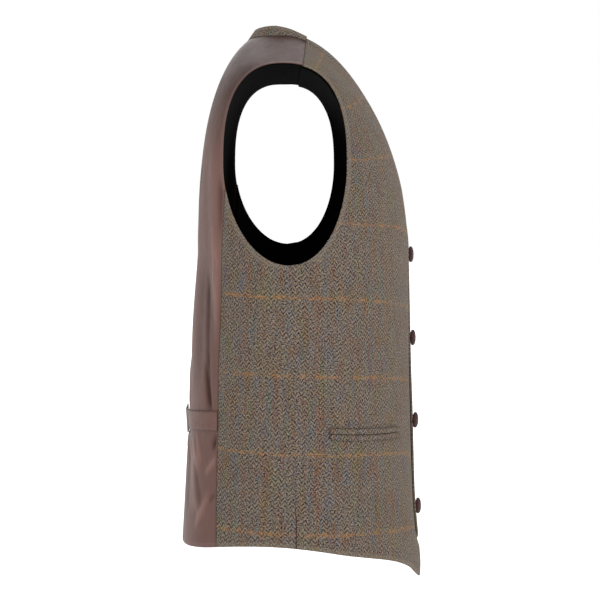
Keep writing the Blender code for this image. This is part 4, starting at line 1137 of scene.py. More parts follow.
def dress_pockets(fronts):
    """Two narrow lips for each lower pocket, one over and one under the slit."""
    made = {}
    middle = (POCKET_FRONT_HEIGHT + POCKET_REAR_HEIGHT) / 2
    for side, mirrored in (("right", True), ("left", False)):
        points, normals, thread, _, _, columns = fronts[side]
        body = points[:, :int(index_of(columns, FRONT_COLUMNS)) + 1]
        first = column_at(body, 1, POCKET_FRONT_Y, middle)
        last = column_at(body, 1, POCKET_REAR_Y, middle)
        along = np.linspace(first, last, LIP_COLUMNS)
        slit = np.interp(along, (first, last), (POCKET_FRONT_HEIGHT, POCKET_REAR_HEIGHT))
        for lip, low, high in (
            ("upper", POCKET_SLIT / 2, POCKET_SLIT / 2 + LIP_HEIGHT),
            ("lower", -POCKET_SLIT / 2 - LIP_HEIGHT, -POCKET_SLIT / 2),
        ):
            edges = np.linspace(low, high, NARROW_ROWS)
            rows = np.stack([rows_at_height(points, along, slit + edge) for edge in edges])
            across = np.broadcast_to(along, rows.shape)
            lip_points = sample(points, rows, across)
            outer = (high if lip == "upper" else low) - edges
            run = np.broadcast_to(run_along(lip_points[:1], 1), rows.shape)
            end = np.minimum(run, run[:, -1:] - run)
            far = np.ones(rows.shape)
            sewn_to = np.minimum(np.abs(outer)[:, None], end)
            marks = {"edge": far, "run": run, "seam": sewn_to, "dart": far}
            made["pocket_%s_%s_lip" % (side, lip)] = cloth_shell(
                "tweed_pocket_%s_%s_lip" % (side, lip), lip_points, unit(sample(normals, rows, across)), tweed,
                LIP_WALL, sample(thread, rows, across) + LIP_CLOTH, marks, lift=LAYER_GAP + LIP_WALL,
                mirrored=mirrored)
    return made


def strap_lines(backs):
    """Lower and upper edge of the strap from the left side seam over the centre to the right one."""
    points, normals, _, _, rows, columns = backs["left"]
    corner = int(index_of(rows, NECK_ROW))
    points = points[:corner + 1]
    which = np.arange(0, points.shape[1], 2)
    which = np.unique(np.append(which, points.shape[1] - 1))
    centre = STRAP_SEAM_HEIGHT + (STRAP_CENTRE_HEIGHT - STRAP_SEAM_HEIGHT) * columns[which] / columns[-1]
    shifts = (-STRAP_HEIGHT / 2, STRAP_HEIGHT / 2)
    at_rows = np.stack([rows_at_height(points, which, centre + shift) for shift in shifts])
    across = np.broadcast_to(which, at_rows.shape)
    edges = sample(points, at_rows, across)
    outward = unit(sample(normals, at_rows, across))
    # The strap stops a seam's gap short of the side seam
    edges[:, 0] += SEAM_GAP * unit(edges[:, 1] - edges[:, 0])
    mirror = np.array((-1.0, 1.0, 1.0))
    return (np.concatenate((edges, edges[:, -2::-1] * mirror), axis=1),
            np.concatenate((outward, outward[:, -2::-1] * mirror), axis=1))


def all_at(lines, x, wanted):
    """Each line's values at the wanted x places, from its values at x, which falls along the lines."""
    return np.stack([
        np.stack([np.interp(-wanted, -x, line[:, axis]) for axis in range(3)], axis=-1) for line in lines])


def strap_shell(name, edges, outward, step):
    """Half of the strap: rows from its lower to its upper edge, `step` metres further out at each place."""
    s = np.linspace(0.0, 1.0, NARROW_ROWS)[:, None, None]
    strip = edges[:1] * (1 - s) + edges[1:] * s
    facing = unit(outward[:1] * (1 - s) + outward[1:] * s)
    strip = strip + facing * step[None, :, None]
    run = np.broadcast_to(run_along(strip[3:4], 1), strip.shape[:2])
    up = np.broadcast_to(s[..., 0] * STRAP_HEIGHT, run.shape)
    # The strap's painted shade is even, just over the middle tone
    marks = {"edge": np.ones(run.shape), "run": run, "seam": np.minimum(up, STRAP_HEIGHT - up),
             "crease": np.full(run.shape, STRAP_SHADE)}
    return cloth_shell(name, strip, facing, satin, STRAP_WALL, np.stack((up, run), axis=-1), marks,
                       lift=LAYER_GAP + STRAP_WALL)


def dress_strap(backs):
    """Waist strap: the left half lies on the back, and the right half's tongue runs on over it."""
    edges, outward = strap_lines(backs)
    x = edges[0, :, 0]
    left = np.concatenate((x[x > STRAP_LEFT_END + STRAP_END_CLEAR], (STRAP_LEFT_END,)))
    made = {"strap_left": strap_shell("satin_strap_left", all_at(edges, x, left),
                                      unit(all_at(outward, x, left)), np.zeros(len(left)))}
    tongue = np.unique(np.concatenate((x[x < TONGUE_END - STRAP_END_CLEAR], (TONGUE_END,))))[::-1]
    over = (LAYER_GAP + STRAP_WALL) * ease(tongue, *TONGUE_CLIMB)
    made["strap_right"] = strap_shell("satin_strap_right", all_at(edges, x, tongue),
                                      unit(all_at(outward, x, tongue)), over)
    return made


def front_seat(height, x):
    """Spot on the left front at a height and x, its point, and the direction out of the cloth there."""
    spot = spots_at([(x, height)], (0, 2), (-1.6, float(rise_guess(np.array(height)))))
    return spot[0], form(spot)[0], form_normals(spot)[0]


def strand_relief(x, y):
    """Woven strands on a disc: each square field has one round strand, across or upright by turns."""
    turned_x = (x + y) / math.sqrt(2) / STRAND_WIDTH + 0.5
    turned_y = (y - x) / math.sqrt(2) / STRAND_WIDTH + 0.5
    crossing = (np.floor(turned_x) + np.floor(turned_y)) % 2 > 0
    over = np.where(crossing, turned_x % 1, turned_y % 1)
    under = np.where(crossing, turned_y % 1, turned_x % 1)
    return STRAND_RELIEF * (np.sqrt(np.sin(math.pi * over)) * (0.55 + 0.45 * np.sin(math.pi * under)) - 0.7)


def dress_buttons():
    """Domed buttons of woven leather: a profile turned round the shank, with strands on the dome."""
    made = {}
    lean = np.linspace(math.pi / 2, 0.0, BUTTON_RINGS)
    dome = np.stack((BUTTON_RADIUS * np.cos(lean), BUTTON_BACK_DEPTH + BUTTON_DOME * np.sin(lean)))
    radius, height = np.concatenate((dome, np.transpose(BUTTON_UNDERSIDE)), axis=1)
    turn = np.linspace(0.0, 2 * math.pi, BUTTON_STEPS, endpoint=False)
    radius[0] = 1e-6
    x = radius[:, None] * np.cos(turn)
    y = radius[:, None] * np.sin(turn)
    on_dome = np.zeros(len(radius))
    on_dome[:BUTTON_RINGS] = ease(np.sin(lean), 0.0, 0.25)
    relief = strand_relief(x, y) * on_dome[:, None]
    shape = np.stack((x, y, height[:, None] + relief), axis=-1)
    # Painted highlight in the dome's middle: whole there, fading out between two radii
    dome_highlight = np.broadcast_to((1 - ease(radius, *DOME_HIGHLIGHT_RADII))[:, None] * (on_dome[:, None] > 0), x.shape)
    index = np.arange(x.size).reshape(x.shape)
    after = np.roll(index, -1, axis=1)
    quads = np.stack((index[:-1], index[1:], after[1:], after[:-1]), axis=-1).reshape(-1, 4)
    for number, (level, x_place, turned) in enumerate(zip(*BUTTONS.values()), start=1):
        _, seat, outward = front_seat(level, x_place)
        swing = -math.radians(turned)
        spin = np.array((
            (math.cos(swing), -math.sin(swing), 0.0),
            (math.sin(swing), math.cos(swing), 0.0),
            (0.0, 0.0, 1.0),
        ))
        axis = spin @ outward
        right = unit(np.cross((0.0, 0.0, 1.0), axis))
        up = np.cross(axis, right)
        points = seat + outward * BUTTON_LIFT + shape.reshape(-1, 3) @ np.stack((right, up, axis))
        made["button_%d" % number] = put_button("leather_button_%d" % number, points, quads, index, dome_highlight)
    return made


def put_button(name, points, quads, index, dome_highlight):
    """Button mesh: the turned quads, with one point at the dome's top and one at the shank's foot."""
    top = points[index[0]].mean(axis=0)
    foot = points[index[-1]].mean(axis=0)
    points = np.concatenate((points, (top, foot)))
    first = index[0]
    last = index[-1]
    top_fan = np.stack((np.full(len(first), len(points) - 2), first, np.roll(first, -1)), axis=-1)
    foot_fan = np.stack((np.full(len(last), len(points) - 1), np.roll(last, -1), last), axis=-1)
    mesh = new_mesh(name, points, quads.tolist() + top_fan.tolist() + foot_fan.tolist(), leather)
    # The painted highlight's mark, with the dome's top point fully in it and the shank's foot out of it
    set_mark(mesh, "dome_highlight", np.append(dome_highlight.ravel(), (1.0, 0.0)))
    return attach(show(name, mesh), "root")


def dress_buttonholes():
    """A sewn ring round each buttonhole of the left front: a thread tube carried along a long slot."""
    made = []
    turn = np.linspace(0.0, 2 * math.pi, HOLE_STEPS, endpoint=False)
    tube = np.linspace(0.0, 2 * math.pi, HOLE_TUBE_STEPS, endpoint=False)
    half_length = HOLE_LENGTH / 2 - HOLE_HALF_HEIGHT
    slot = np.stack((HOLE_HALF_HEIGHT * np.cos(turn) + half_length * np.tanh(4 * np.cos(turn)),
                     HOLE_HALF_HEIGHT * np.sin(turn)), axis=-1)
    away = unit(np.stack((np.cos(turn), np.sin(turn)), axis=-1))
    thick = HOLE_THREAD * (1 + 0.18 * np.cos(HOLE_STITCHES * turn))[:, None]
    for number, (level, x_place) in enumerate(zip(BUTTONS["height"], BUTTONS["x"]), start=1):
        spot, _, _ = front_seat(level, x_place + HOLE_START + HOLE_LENGTH / 2)
        by_angle = np.linalg.norm(form(spot + (SLOPE_STEP, 0.0)) - form(spot)) / SLOPE_STEP
        by_rise = np.linalg.norm(form(spot + (0.0, SLOPE_STEP)) - form(spot)) / SLOPE_STEP
        x = slot[:, :1] + away[:, :1] * thick * np.cos(tube)
        y = slot[:, 1:] + away[:, 1:] * thick * np.cos(tube)
        out = 0.6 * thick * np.sin(tube)
        spots = spot + np.stack((x / by_angle, y / by_rise), axis=-1)
        points = form(spots) + form_normals(spots) * out[..., None]
        index = np.arange(points.shape[0] * points.shape[1]).reshape(points.shape[:2])
        onward = np.roll(index, -1, axis=0)
        quads = np.stack((onward, np.roll(onward, -1, axis=1), np.roll(index, -1, axis=1), index), axis=-1)
        made.append(
            put_mesh("buttonhole_%d" % number, points.reshape(-1, 3), quads.reshape(-1, 4), thread_brown))
    return made


# ---- Materials ----------------------------------------------------------------------------------------------

def colour(code):
    """Linear colour of an sRGB hex code: the sRGB curve undone on each channel."""
    channels = np.array([int(code[k:k + 2], 16) for k in (0, 2, 4)]) / 255
    linear = np.where(channels <= 0.04045, channels / 12.92, ((channels + 0.055) / 1.055) ** 2.4)
    return (*linear.tolist(), 1.0)


def feed(tree, node, inputs):
    """Give each named input of a node its value, or link another node's output to it."""
    for name, value in inputs.items():
        if isinstance(value, bpy.types.NodeSocket):
            tree.links.new(value, node.inputs[name])
        else:
            node.inputs[name].default_value = value


def add(tree, kind, inputs, out=0, **settings):
    """Node of a kind with its settings and inputs. Gives one output, or all of them where `out` is None."""
    made = tree.nodes.new("ShaderNode" + kind)
    for name, value in settings.items():
        setattr(made, name, value)
    feed(tree, made, inputs)
    return made.outputs if out is None else made.outputs[out]


def blank(name):
    """New material with its node tree and its principled shader."""
    finish = bpy.data.materials.new(name)
    finish.use_nodes = True
    return finish, finish.node_tree, finish.node_tree.nodes["Principled BSDF"]


# Overcheck: single coloured threads, each at its place within the repeat, with its width and strength
STANDING_REPEAT = 0.148
STANDING_THREADS = (
    (0.000, 0.0022, 0.72, "6e3a26"),
    (-0.012, 0.0040, 0.62, "46545f"),
    (0.008, 0.0030, 0.35, "46555b"),
    (-0.028, 0.0026, 0.35, "74502c"),
    (-0.050, 0.0034, 0.25, "4f5336"),
    (-0.066, 0.0040, 0.56, "46545f"),
    (-0.074, 0.0022, 0.60, "6e3a26"),
    (-0.082, 0.0034, 0.35, "43564f"),
    (-0.092, 0.0028, 0.40, "74502c"),
    (-0.100, 0.0034, 0.30, "5f5c33"),
    (-0.118, 0.0034, 0.35, "46545f"),
)
LEVEL_REPEAT = 0.0865
LEVEL_START = -0.0370
LEVEL_THREADS = (
    (0.0000, 0.0032, 0.66, "9a6a34"),
    (0.0430, 0.0026, 0.28, "74502c"),
    (0.0045, 0.0030, 0.26, "6a6234"),
)
HERRINGBONE_RIB = 0.0032
HERRINGBONE_PITCH = 0.0050
HERRINGBONE_CLIMB = 1.55
THREAD_WANDER = 0.0044

# Sewing, by distance from an edge, a seam or the dart, with painted shade in its grooves and ditches and a
# painted highlight along finished edges. A pair says where a line is whole and where it has gone
TWEED_EDGE_HIGHLIGHT = (0.0050, 0.0064)
GROOVE_PLACE = 0.0055
GROOVE_HALF_WIDTH = 0.0012
DART_LINE = (0.0004, 0.0016)
TWEED_DITCH = 0.0017
SATIN_EDGE_HIGHLIGHT = (0.0045, 0.0056)
STITCH_PLACE = 0.0028
STITCH_LINE = (0.0002, 0.0007)
STITCH_LENGTH = 0.0012
STITCH_END = (0.0002, 0.0005)
SATIN_DITCH = 0.0020
PUCKER_REACH = 0.016


def tweed_cloth():
    """Woollen tweed, woven as herringbone from marled yarns: rough, hairy, with a pale bloom at grazing angles.

    Chevron = a ramp that turns back at each rib, added to the height of the cloth and cut into even lines.
    """
    finish, tree, shader = blank("tweed")
    cloth = add(tree, "UVMap", {}, uv_map="cloth")
    # Woven threads never run quite true: both places wander by about a millimetre
    wander = add(
        tree, "TexNoise", {"Vector": cloth, "Scale": 75.0, "Detail": 3.0, "Roughness": 0.6}, out="Color")
    wander = add(tree, "VectorMath", {0: wander, 1: (0.5, 0.5, 0.5)}, operation="SUBTRACT")
    reach = (THREAD_WANDER, THREAD_WANDER, 0.0)
    place = add(tree, "VectorMath", {0: wander, 1: reach, 2: cloth}, operation="MULTIPLY_ADD")
    u, v, _ = add(tree, "SeparateXYZ", {0: place}, out=None)
    zigzag = add(tree, "Math", {0: u, 1: HERRINGBONE_RIB}, operation="PINGPONG")
    climb = add(tree, "Math", {0: zigzag, 1: HERRINGBONE_CLIMB, 2: v}, operation="MULTIPLY_ADD")
    line = add(tree, "Math", {0: climb, 1: HERRINGBONE_PITCH / 2}, operation="PINGPONG")
    twill = add(tree, "MapRange", {0: line, 1: 0.15 * HERRINGBONE_PITCH / 2, 2: 0.85 * HERRINGBONE_PITCH / 2})
    # The lines come and go, because the nap hides them in places
    nap = add(tree, "TexNoise", {"Vector": cloth, "Scale": 110.0, "Detail": 2.0}, out="Fac")
    nap = add(tree, "MapRange", {0: nap, 1: 0.36, 2: 0.62, 3: 0.08, 4: 0.50})
    fibre = add(tree, "TexNoise", {"Vector": cloth, "Scale": 640.0, "Detail": 2.0, "Roughness": 0.7}, out="Fac")
    fibre = add(tree, "MapRange", {0: fibre, 1: 0.34, 2: 0.66})
    mixed = add(tree, "Mix", {0: nap, 2: fibre, 3: twill}, out=0)
    mixed = add(tree, "MapRange", {0: mixed, 1: 0.20, 2: 0.80})
    tone = add(tree, "Mix", {0: mixed, 6: colour("0e0a09"), 7: colour("7c7066")}, out=2, data_type="RGBA")

    # Marled yarn: flecks two or three millimetres long, of each dyed wool in the blend
    for scale, shift, low, high, most, code in (
        (330.0, 1.3, 0.56, 0.64, 0.40, "6a5430"),
        (300.0, 4.7, 0.57, 0.65, 0.40, "4b565e"),
        (280.0, 8.1, 0.58, 0.66, 0.38, "5a3a35"),
        (420.0, 12.9, 0.60, 0.68, 0.40, "948873"),
        (360.0, 17.7, 0.59, 0.67, 0.50, "15120f"),
    ):
        fleck = add(tree, "TexNoise", {"Vector": place, "W": shift, "Scale": scale, "Detail": 1.5}, out="Fac",
                    noise_dimensions="4D")
        fleck = add(tree, "MapRange", {0: fleck, 1: low, 2: high, 4: most})
        tone = add(tree, "Mix", {0: fleck, 6: tone, 7: colour(code)}, out=2, data_type="RGBA")

    # Uneven dyeing: soft patches a centimetre across and five along the warp, that change the hue alone
    patches = add(tree, "Mapping", {0: cloth, 3: (1.0, 0.22, 1.0)})
    for scale, shift, most, code in (
        (90.0, 2.0, 0.32, "7a5a2c"),
        (110.0, 6.0, 0.30, "4a5a6a"),
        (130.0, 9.0, 0.34, "7a4838"),
        (80.0, 14.0, 0.16, "55602f"),
    ):
        soft = add(tree, "TexNoise", {"Vector": patches, "W": shift, "Scale": scale, "Detail": 2.0}, out="Fac",
                   noise_dimensions="4D")
        soft = add(tree, "MapRange", {0: soft, 1: 0.50, 2: 0.66, 4: most})
        tone = add(tree, "Mix", {0: soft, 6: tone, 7: colour(code)}, out=2, data_type="RGBA",
                   blend_type="COLOR")

    # Overcheck threads: they show where they pass over the face of the weave
    broken = add(tree, "TexNoise", {"Vector": place, "Scale": 95.0, "Detail": 3.0, "Roughness": 0.7}, out="Fac")
    broken = add(tree, "MapRange", {0: broken, 1: 0.42, 2: 0.62, 3: 0.05, 4: 1.0})
    shows = add(tree, "Math", {0: fibre, 1: 0.5, 2: 0.5}, operation="MULTIPLY_ADD")
    shows = add(tree, "Math", {0: shows, 1: broken}, operation="MULTIPLY")
    for along, repeat, first, threads in (
        (u, STANDING_REPEAT, 0.0, STANDING_THREADS),
        (v, LEVEL_REPEAT, LEVEL_START, LEVEL_THREADS),
    ):
        for start, width, strength, code in threads:
            away = add(tree, "Math", {0: along, 1: first + start + repeat / 2}, operation="SUBTRACT")
            away = add(tree, "Math", {0: away, 1: repeat / 2}, operation="PINGPONG")
            away = add(tree, "Math", {0: repeat / 2, 1: away}, operation="SUBTRACT")
            on_thread = add(tree, "MapRange", {0: away, 1: 0.0, 2: width, 3: strength, 4: 0.0})
            on_thread = add(tree, "Math", {0: on_thread, 1: shows}, operation="MULTIPLY")
            tone = add(tree, "Mix", {0: on_thread, 6: tone, 7: colour(code)}, out=2, data_type="RGBA")

    # Painted highlight along each finished edge, where the turned edge rolls: a little paler
    edge, seam, dart = (
        add(tree, "Attribute", {}, out="Fac", attribute_name=mark) for mark in ("edge", "seam", "dart"))
    edge_highlight = add(tree, "MapRange", {0: edge, 1: TWEED_EDGE_HIGHLIGHT[0], 2: TWEED_EDGE_HIGHLIGHT[1], 3: 0.24, 4: 0.0})

    # Sewing: a soft groove just inside each finished edge, the dart's line, and a ditch along each seam, each
    # sunk in the bump and darkened with painted shade
    from_dart = add(tree, "Math", {0: dart}, operation="ABSOLUTE")
    from_groove = add(tree, "Math", {0: edge, 1: GROOVE_PLACE}, operation="SUBTRACT")
    from_groove = add(tree, "Math", {0: from_groove}, operation="ABSOLUTE")
    dart, groove, ditch = (
        add(tree, "MapRange", {0: away, 1: whole, 2: gone, 3: most, 4: 0.0}, interpolation_type="SMOOTHSTEP")
        for away, whole, gone, most in (
            (from_dart, *DART_LINE, 0.75),
            (from_groove, 0.0, GROOVE_HALF_WIDTH, 1.0),
            (seam, 0.0, TWEED_DITCH, 1.0),
        ))
    # Painted shade in the edge groove and in the seams' ditches
    sewn = add(tree, "Math", {0: groove, 1: 0.6, 2: ditch}, operation="MULTIPLY_ADD")
    sewn = add(tree, "Math", {0: sewn, 1: 0.32}, operation="MULTIPLY")
    # Painted highlight along the finished edges; painted shade on the dart's line and in the grooves and ditches
    for share, code in ((edge_highlight, "7b7164"), (dart, "33160f"), (sewn, "1d1713")):
        tone = add(tree, "Mix", {0: share, 6: tone, 7: colour(code)}, out=2, data_type="RGBA")

    height = 0.0
    for layer, most in ((twill, 0.25), (fibre, 0.35), (groove, -0.30), (dart, -0.60), (ditch, -0.25)):
        height = add(tree, "Math", {0: layer, 1: most, 2: height}, operation="MULTIPLY_ADD")
    bump = add(tree, "Bump", {"Height": height, "Distance": 0.001, "Strength": 0.9})
    feed(tree, shader, {"Base Color": tone, "Normal": bump, "Roughness": 0.95, "Specular IOR Level": 0.12,
                        "Sheen Weight": 0.12, "Sheen Roughness": 0.5, "Sheen Tint": colour("b8ab9a")})
    return finish


def satin_cloth():
    """Viscose satin back cloth of long smooth floats: broad soft painted light on fold ridges, painted shade in
    troughs.

    Its weave is 0.1 mm and too fine to show, so it is drawn as faint warp lines 0.8 mm apart.
    """
    finish, tree, shader = blank("satin")
    cloth = add(tree, "UVMap", {}, uv_map="cloth")
    warp = add(tree, "Mapping", {0: cloth, 3: (1.0, 0.06, 1.0)})
    warp = add(tree, "TexNoise", {"Vector": warp, "Scale": 1200.0, "Detail": 2.0}, out="Fac")
    cloudy = add(tree, "TexNoise", {"Vector": cloth, "Scale": 26.0, "Detail": 3.0}, out="Fac")
    crease, edge, run, seam = (
        add(tree, "Attribute", {}, out="Fac", attribute_name=mark)
        for mark in ("crease", "edge", "run", "seam"))
    # Painted light and shade: ridges of folds and creases are painted paler, their troughs and the shoulders
    # darker
    shade = add(tree, "MapRange", {0: crease, 1: -0.0017, 2: 0.0017})
    tone = add(tree, "Mix", {0: shade, 6: colour("38231e"), 7: colour("7a5e57")}, out=2, data_type="RGBA")

    # Turned edges: a paler strip of painted highlight, closed by a line of stitches whose sunken line is
    # darkened with painted shade. Each seam lies in a ditch darkened with painted shade
    stitch = add(tree, "Math", {0: edge, 1: STITCH_PLACE}, operation="SUBTRACT")
    stitch = add(tree, "Math", {0: stitch}, operation="ABSOLUTE")
    stitch = add(tree, "MapRange", {0: stitch, 1: STITCH_LINE[0], 2: STITCH_LINE[1], 3: 1.0, 4: 0.0})
    dash = add(tree, "Math", {0: run, 1: STITCH_LENGTH}, operation="PINGPONG")
    dash = add(tree, "MapRange", {0: dash, 1: STITCH_END[0], 2: STITCH_END[1]})
    thread_dash = add(tree, "Math", {0: stitch, 1: dash}, operation="MULTIPLY")
    ditch = add(tree, "MapRange", {0: seam, 2: SATIN_DITCH, 3: 1.0, 4: 0.0}, interpolation_type="SMOOTHSTEP")
    # Painted shade along the sunken stitch line and in each seam's ditch
    dark = add(tree, "Math", {0: stitch, 1: 0.35, 2: ditch}, operation="MULTIPLY_ADD")
    for place, low, high, least, most, code in (
        (cloudy, 0.35, 0.65, 0.0, 0.20, "59423c"),
        (warp, 0.35, 0.65, 0.0, 0.14, "35231f"),
        (edge, *SATIN_EDGE_HIGHLIGHT, 0.28, 0.0, "755f5a"),
        (dark, 0.0, 1.35, 0.0, 0.35 * 1.35, "291a17"),
    ):
        share = add(tree, "MapRange", {0: place, 1: low, 2: high, 3: least, 4: most})
        tone = add(tree, "Mix", {0: share, 6: tone, 7: colour(code)}, out=2, data_type="RGBA")

    # Puckers: seams draw the thin cloth up in small waves
    near_seam = add(tree, "MapRange", {0: seam, 1: 0.0, 2: PUCKER_REACH, 3: 1.0, 4: 0.0})
    pucker = add(tree, "Mapping", {0: cloth, 3: (0.3, 1.0, 1.0)})
    pucker = add(tree, "TexNoise", {"Vector": pucker, "Scale": 130.0, "Detail": 1.0}, out="Fac")
    pucker = add(tree, "Math", {0: pucker, 1: near_seam}, operation="MULTIPLY")
    height = 0.0
    for layer, most in (
        (warp, 0.05), (pucker, 0.9), (stitch, -0.20), (thread_dash, 0.16), (ditch, -0.2), (cloudy, 1.2),
    ):
        height = add(tree, "Math", {0: layer, 1: most, 2: height}, operation="MULTIPLY_ADD")
    bump = add(tree, "Bump", {"Height": height, "Distance": 0.001, "Strength": 1.0})
    gloss = add(tree, "MapRange", {0: warp, 1: 0.3, 2: 0.7, 3: 0.40, 4: 0.50})
    feed(tree, shader, {"Base Color": tone, "Normal": bump, "Roughness": gloss, "Specular IOR Level": 0.05})
    return finish


def black_lining_cloth():
    """Acetate lining, dyed black and deepened by painted shade: a thin smooth cloth with a dull shine and fine
    warp lines.

    Its weave is too fine to show, so it is drawn as lines 1 mm apart.
    """
    finish, tree, shader = blank("black_lining")
    cloth = add(tree, "UVMap", {}, uv_map="cloth")
    warp = add(tree, "Mapping", {0: cloth, 3: (1.0, 0.05, 1.0)})
    warp = add(tree, "TexNoise", {"Vector": warp, "Scale": 1000.0, "Detail": 2.0}, out="Fac")
    # The lining's own black, deepened to near nothing as painted shade, so that the garment's inside reads unlit
    tone = add(tree, "Mix", {0: warp, 6: colour("010101"), 7: colour("020202")}, out=2, data_type="RGBA")
    soft = add(tree, "TexNoise", {"Vector": cloth, "Scale": 40.0, "Detail": 2.0}, out="Fac")
    height = add(tree, "Math", {0: warp, 1: 0.05}, operation="MULTIPLY")
    height = add(tree, "Math", {0: soft, 1: 0.8, 2: height}, operation="MULTIPLY_ADD")
    bump = add(tree, "Bump", {"Height": height, "Distance": 0.001, "Strength": 0.8})
    feed(tree, shader, {"Base Color": tone, "Normal": bump, "Roughness": 0.75, "Specular IOR Level": 0.02})
    return finish


def button_leather():
    """Calf leather strips, dyed dark red-brown, plaited over a core: glossier on their crowns, with painted
    light and shade.
    """
    finish, tree, shader = blank("leather")
    spot = add(tree, "TexCoord", {}, out="Object")
    grain = add(tree, "TexVoronoi", {"Vector": spot, "Scale": 2200.0}, out="Distance")
    mottle = add(tree, "TexNoise", {"Vector": spot, "Scale": 420.0, "Detail": 3.0}, out="Fac")
    # Painted light on the strands' crowns and painted shade between the strands, by how pointed the surface is;
    # the crowns are also glossier
    crown = add(tree, "NewGeometry", {}, out="Pointiness")
    crown = add(tree, "MapRange", {0: crown, 1: 0.47, 2: 0.55})
    tone = add(tree, "Mix", {0: crown, 6: colour("1c0a09"), 7: colour("3c1d1f")}, out=2, data_type="RGBA")
    mottle = add(tree, "MapRange", {0: mottle, 1: 0.35, 2: 0.65, 4: 0.4})
    # Painted highlight: the middle of each dome is painted paler than its rim
    dome_highlight = add(tree, "Attribute", {}, out="Fac", attribute_name="dome_highlight")
    dome_highlight = add(tree, "Math", {0: dome_highlight, 1: 0.4}, operation="MULTIPLY")
    for share, code in ((mottle, "2a1212"), (dome_highlight, "5c3e3f")):
        tone = add(tree, "Mix", {0: share, 6: tone, 7: colour(code)}, out=2, data_type="RGBA")
    bump = add(tree, "Bump", {"Height": grain, "Distance": 0.0001, "Strength": 0.5})
    gloss = add(tree, "MapRange", {0: crown, 3: 0.62, 4: 0.42})
    feed(tree, shader, {"Base Color": tone, "Normal": bump, "Roughness": gloss, "Specular IOR Level": 0.12})
    return finish


def silk_thread():
    """Twisted silk buttonhole thread, dark brown: round stitches laid side by side, with a small shine."""
    finish, tree, shader = blank("buttonhole_thread")
    spot = add(tree, "TexCoord", {}, out="Object")
    strands = add(tree, "TexWave", {"Vector": spot, "Scale": 420.0, "Distortion": 1.0}, out="Fac")
    tone = add(tree, "Mix", {0: strands, 6: colour("33271f"), 7: colour("6a5a4c")}, out=2, data_type="RGBA")
    bump = add(tree, "Bump", {"Height": strands, "Distance": 0.0003, "Strength": 0.7})
    feed(tree, shader, {"Base Color": tone, "Normal": bump, "Roughness": 0.6})
    return finish


def gunmetal_plate():
    """Pressed steel with a black nickel finish: dark, softly brushed, and rubbed paler at its edges."""
    finish, tree, shader = blank("gunmetal")
    spot = add(tree, "TexCoord", {}, out="Object")
    brushed = add(tree, "Mapping", {0: spot, 3: (1.0, 1.0, 12.0)})
    brushed = add(tree, "TexNoise", {"Vector": brushed, "Scale": 260.0, "Detail": 3.0}, out="Fac")
    edge = add(tree, "NewGeometry", {}, out="Pointiness")
    edge = add(tree, "MapRange", {0: edge, 1: 0.50, 2: 0.58})
    tone = add(tree, "Mix", {0: edge, 6: colour("4a4442"), 7: colour("8c8580")}, out=2, data_type="RGBA")
    gloss = add(tree, "MapRange", {0: brushed, 1: 0.3, 2: 0.7, 3: 0.30, 4: 0.44})
    bump = add(tree, "Bump", {"Height": brushed, "Distance": 0.0001, "Strength": 0.3})
    feed(tree, shader, {"Base Color": tone, "Normal": bump, "Roughness": gloss, "Metallic": 1.0})
    return finish


def studio_paper():
    """Matt white background paper."""
    finish, tree, shader = blank("studio_paper")
    spot = add(tree, "TexCoord", {}, out="Object")
    grain = add(tree, "TexNoise", {"Vector": spot, "Scale": 3.0, "Detail": 1.0}, out="Fac")
    tone = add(tree, "Mix", {0: grain, 6: colour("f7f7f7"), 7: colour("fbfbfb")}, out=2, data_type="RGBA")
    feed(tree, shader, {"Base Color": tone, "Roughness": 1.0, "Specular IOR Level": 0.0,
                        "Emission Color": colour("ffffff"), "Emission Strength": 0.35})
    return finish


# ---- The dressed garment ------------------------------------------------------------------------------------

tweed = tweed_cloth()
satin = satin_cloth()
black_lining = black_lining_cloth()
leather = button_leather()
thread_brown = silk_thread()
gunmetal = gunmetal_plate()

fronts = make_fronts()
backs = make_backs()
pieces = {}
pieces.update(dress_panels(fronts, backs))
pieces.update(dress_lining(fronts, backs))
pieces["neck_band"] = dress_neck_band(backs)
pieces.update(dress_pockets(fronts))
pieces.update(dress_strap(backs))
pieces.update(dress_buttons())
buttonholes = dress_buttonholes()

for node, piece in pieces.items():
    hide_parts(node)
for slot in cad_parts["strap_buckle"].material_slots:
    slot.material = gunmetal

# ---- Room, light and camera ---------------------------------------------------------------------------------

FLOOR_HEIGHT = -0.74
FLOOR_RADIUS = 6.0
FLOOR_CORNERS = 96
turn = np.linspace(0.0, 2 * math.pi, FLOOR_CORNERS, endpoint=False)
floor_points = np.stack(
    (FLOOR_RADIUS * np.cos(turn), FLOOR_RADIUS * np.sin(turn), np.full(FLOOR_CORNERS, FLOOR_HEIGHT)), axis=-1)
show("floor", new_mesh("floor", floor_points, [list(range(FLOOR_CORNERS))], studio_paper()))

# Softboxes, each with its place and power: square area lights that face one target
LIGHT_TARGET = (0.0, 0.0, -0.3)
LIGHT_SIZE = 1.8
for name, place, power in (
    ("key", (-2.1, -1.5, 1.0), 34.0),
    ("fill", (-2.0, 1.7, 0.4), 7.0),
    ("far_fill", (2.4, 0.0, 1.2), 22.0),
):
    light = bpy.data.lights.new(name, "AREA")
    light.shape = "SQUARE"
    light.size = LIGHT_SIZE
    light.energy = power
    lamp = show(name, light)
    away = np.array(place) - LIGHT_TARGET
    tilt = math.acos(away[2] / np.linalg.norm(away))
    lamp.location = place
    lamp.rotation_euler = (tilt, 0.0, math.atan2(away[1], away[0]) + math.pi / 2)

world = bpy.data.worlds.new("studio")
world.use_nodes = True
feed(world.node_tree, world.node_tree.nodes["Background"], {"Color": colour("ffffff"), "Strength": 1.0})
bpy.context.scene.world = world
bpy.context.scene.view_settings.view_transform = "Standard"

CAMERA_PLACE = (-1.5, 0.0, -0.157)
CAMERA_LENS = 75.0
CAMERA_FILM = 36.0
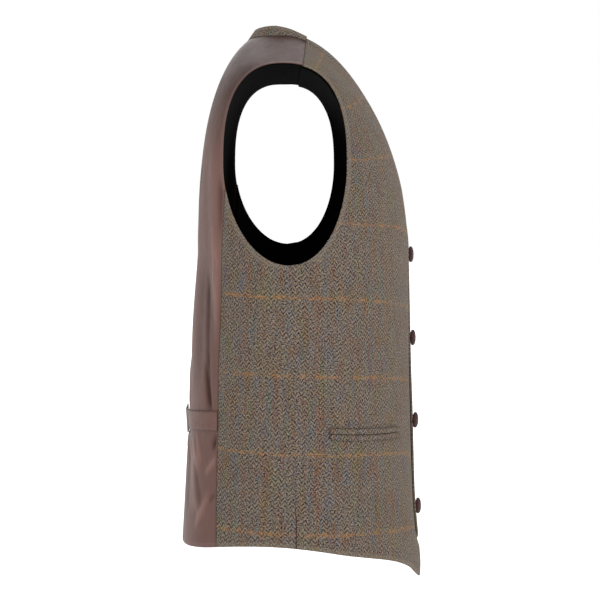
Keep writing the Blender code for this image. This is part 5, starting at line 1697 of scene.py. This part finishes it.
# The view's turn aside and down, as shifts in pixels at a focal length in pixels
FOCAL_PIXELS = 1250
PIXELS_ASIDE = 15
PIXELS_DOWN = 136
yaw = math.atan(PIXELS_ASIDE / FOCAL_PIXELS)
pitch = math.atan(PIXELS_DOWN / math.hypot(FOCAL_PIXELS, PIXELS_ASIDE))
lens = bpy.data.cameras.new("camera")
lens.lens = CAMERA_LENS
lens.sensor_width = CAMERA_FILM
camera = show("camera", lens)
camera.location = CAMERA_PLACE
camera.rotation_euler = (math.pi / 2 - pitch, 0.0, -math.pi / 2 - yaw)
bpy.context.scene.camera = camera


# ---- Sheets of cloth: what each is cut to --------------------------------------------------------------------

def cut_area(piece):
    """Area of one face of a cloth shell: half of all its faces."""
    areas = np.empty(len(piece.data.polygons))
    piece.data.polygons.foreach_get("area", areas)
    return float(areas.sum()) / 2


LIPS_RIGHT = [pieces["pocket_right_upper_lip"], pieces["pocket_right_lower_lip"]]
LIPS_LEFT = [pieces["pocket_left_upper_lip"], pieces["pocket_left_lower_lip"]]
BUTTON_PIECES = [pieces["button_%d" % number] for number in (1, 2, 3, 4)]
SHEETS = (
    ("front_right", (0.360, 0.680), "hung", (), LIPS_RIGHT),
    ("front_left", (0.360, 0.680), "hung", (), LIPS_LEFT + buttonholes + BUTTON_PIECES),
    ("back_right", (0.240, 0.640), "hung", (), []),
    ("back_left", (0.240, 0.640), "hung", (), []),
    ("lining_front_right", (0.320, 0.640), "hung", (), []),
    ("lining_front_left", (0.320, 0.640), "hung", (), []),
    ("lining_back_right", (0.240, 0.620), "hung", (), []),
    ("lining_back_left", (0.240, 0.620), "hung", (), []),
    ("neck_band", (0.0155, 0.230), "folded", (), []),
    ("strap_right", (0.0225, 0.200), "laid", (pieces["back_right"], pieces["back_left"]), []),
    ("strap_left", (0.0225, 0.140), "laid", (pieces["back_left"],), [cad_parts["strap_buckle"]]),
)
for node, flat, held, rests_on, with_pieces in SHEETS:
    round(min(cut_area(pieces[node]), flat[0] * flat[1]), 6)
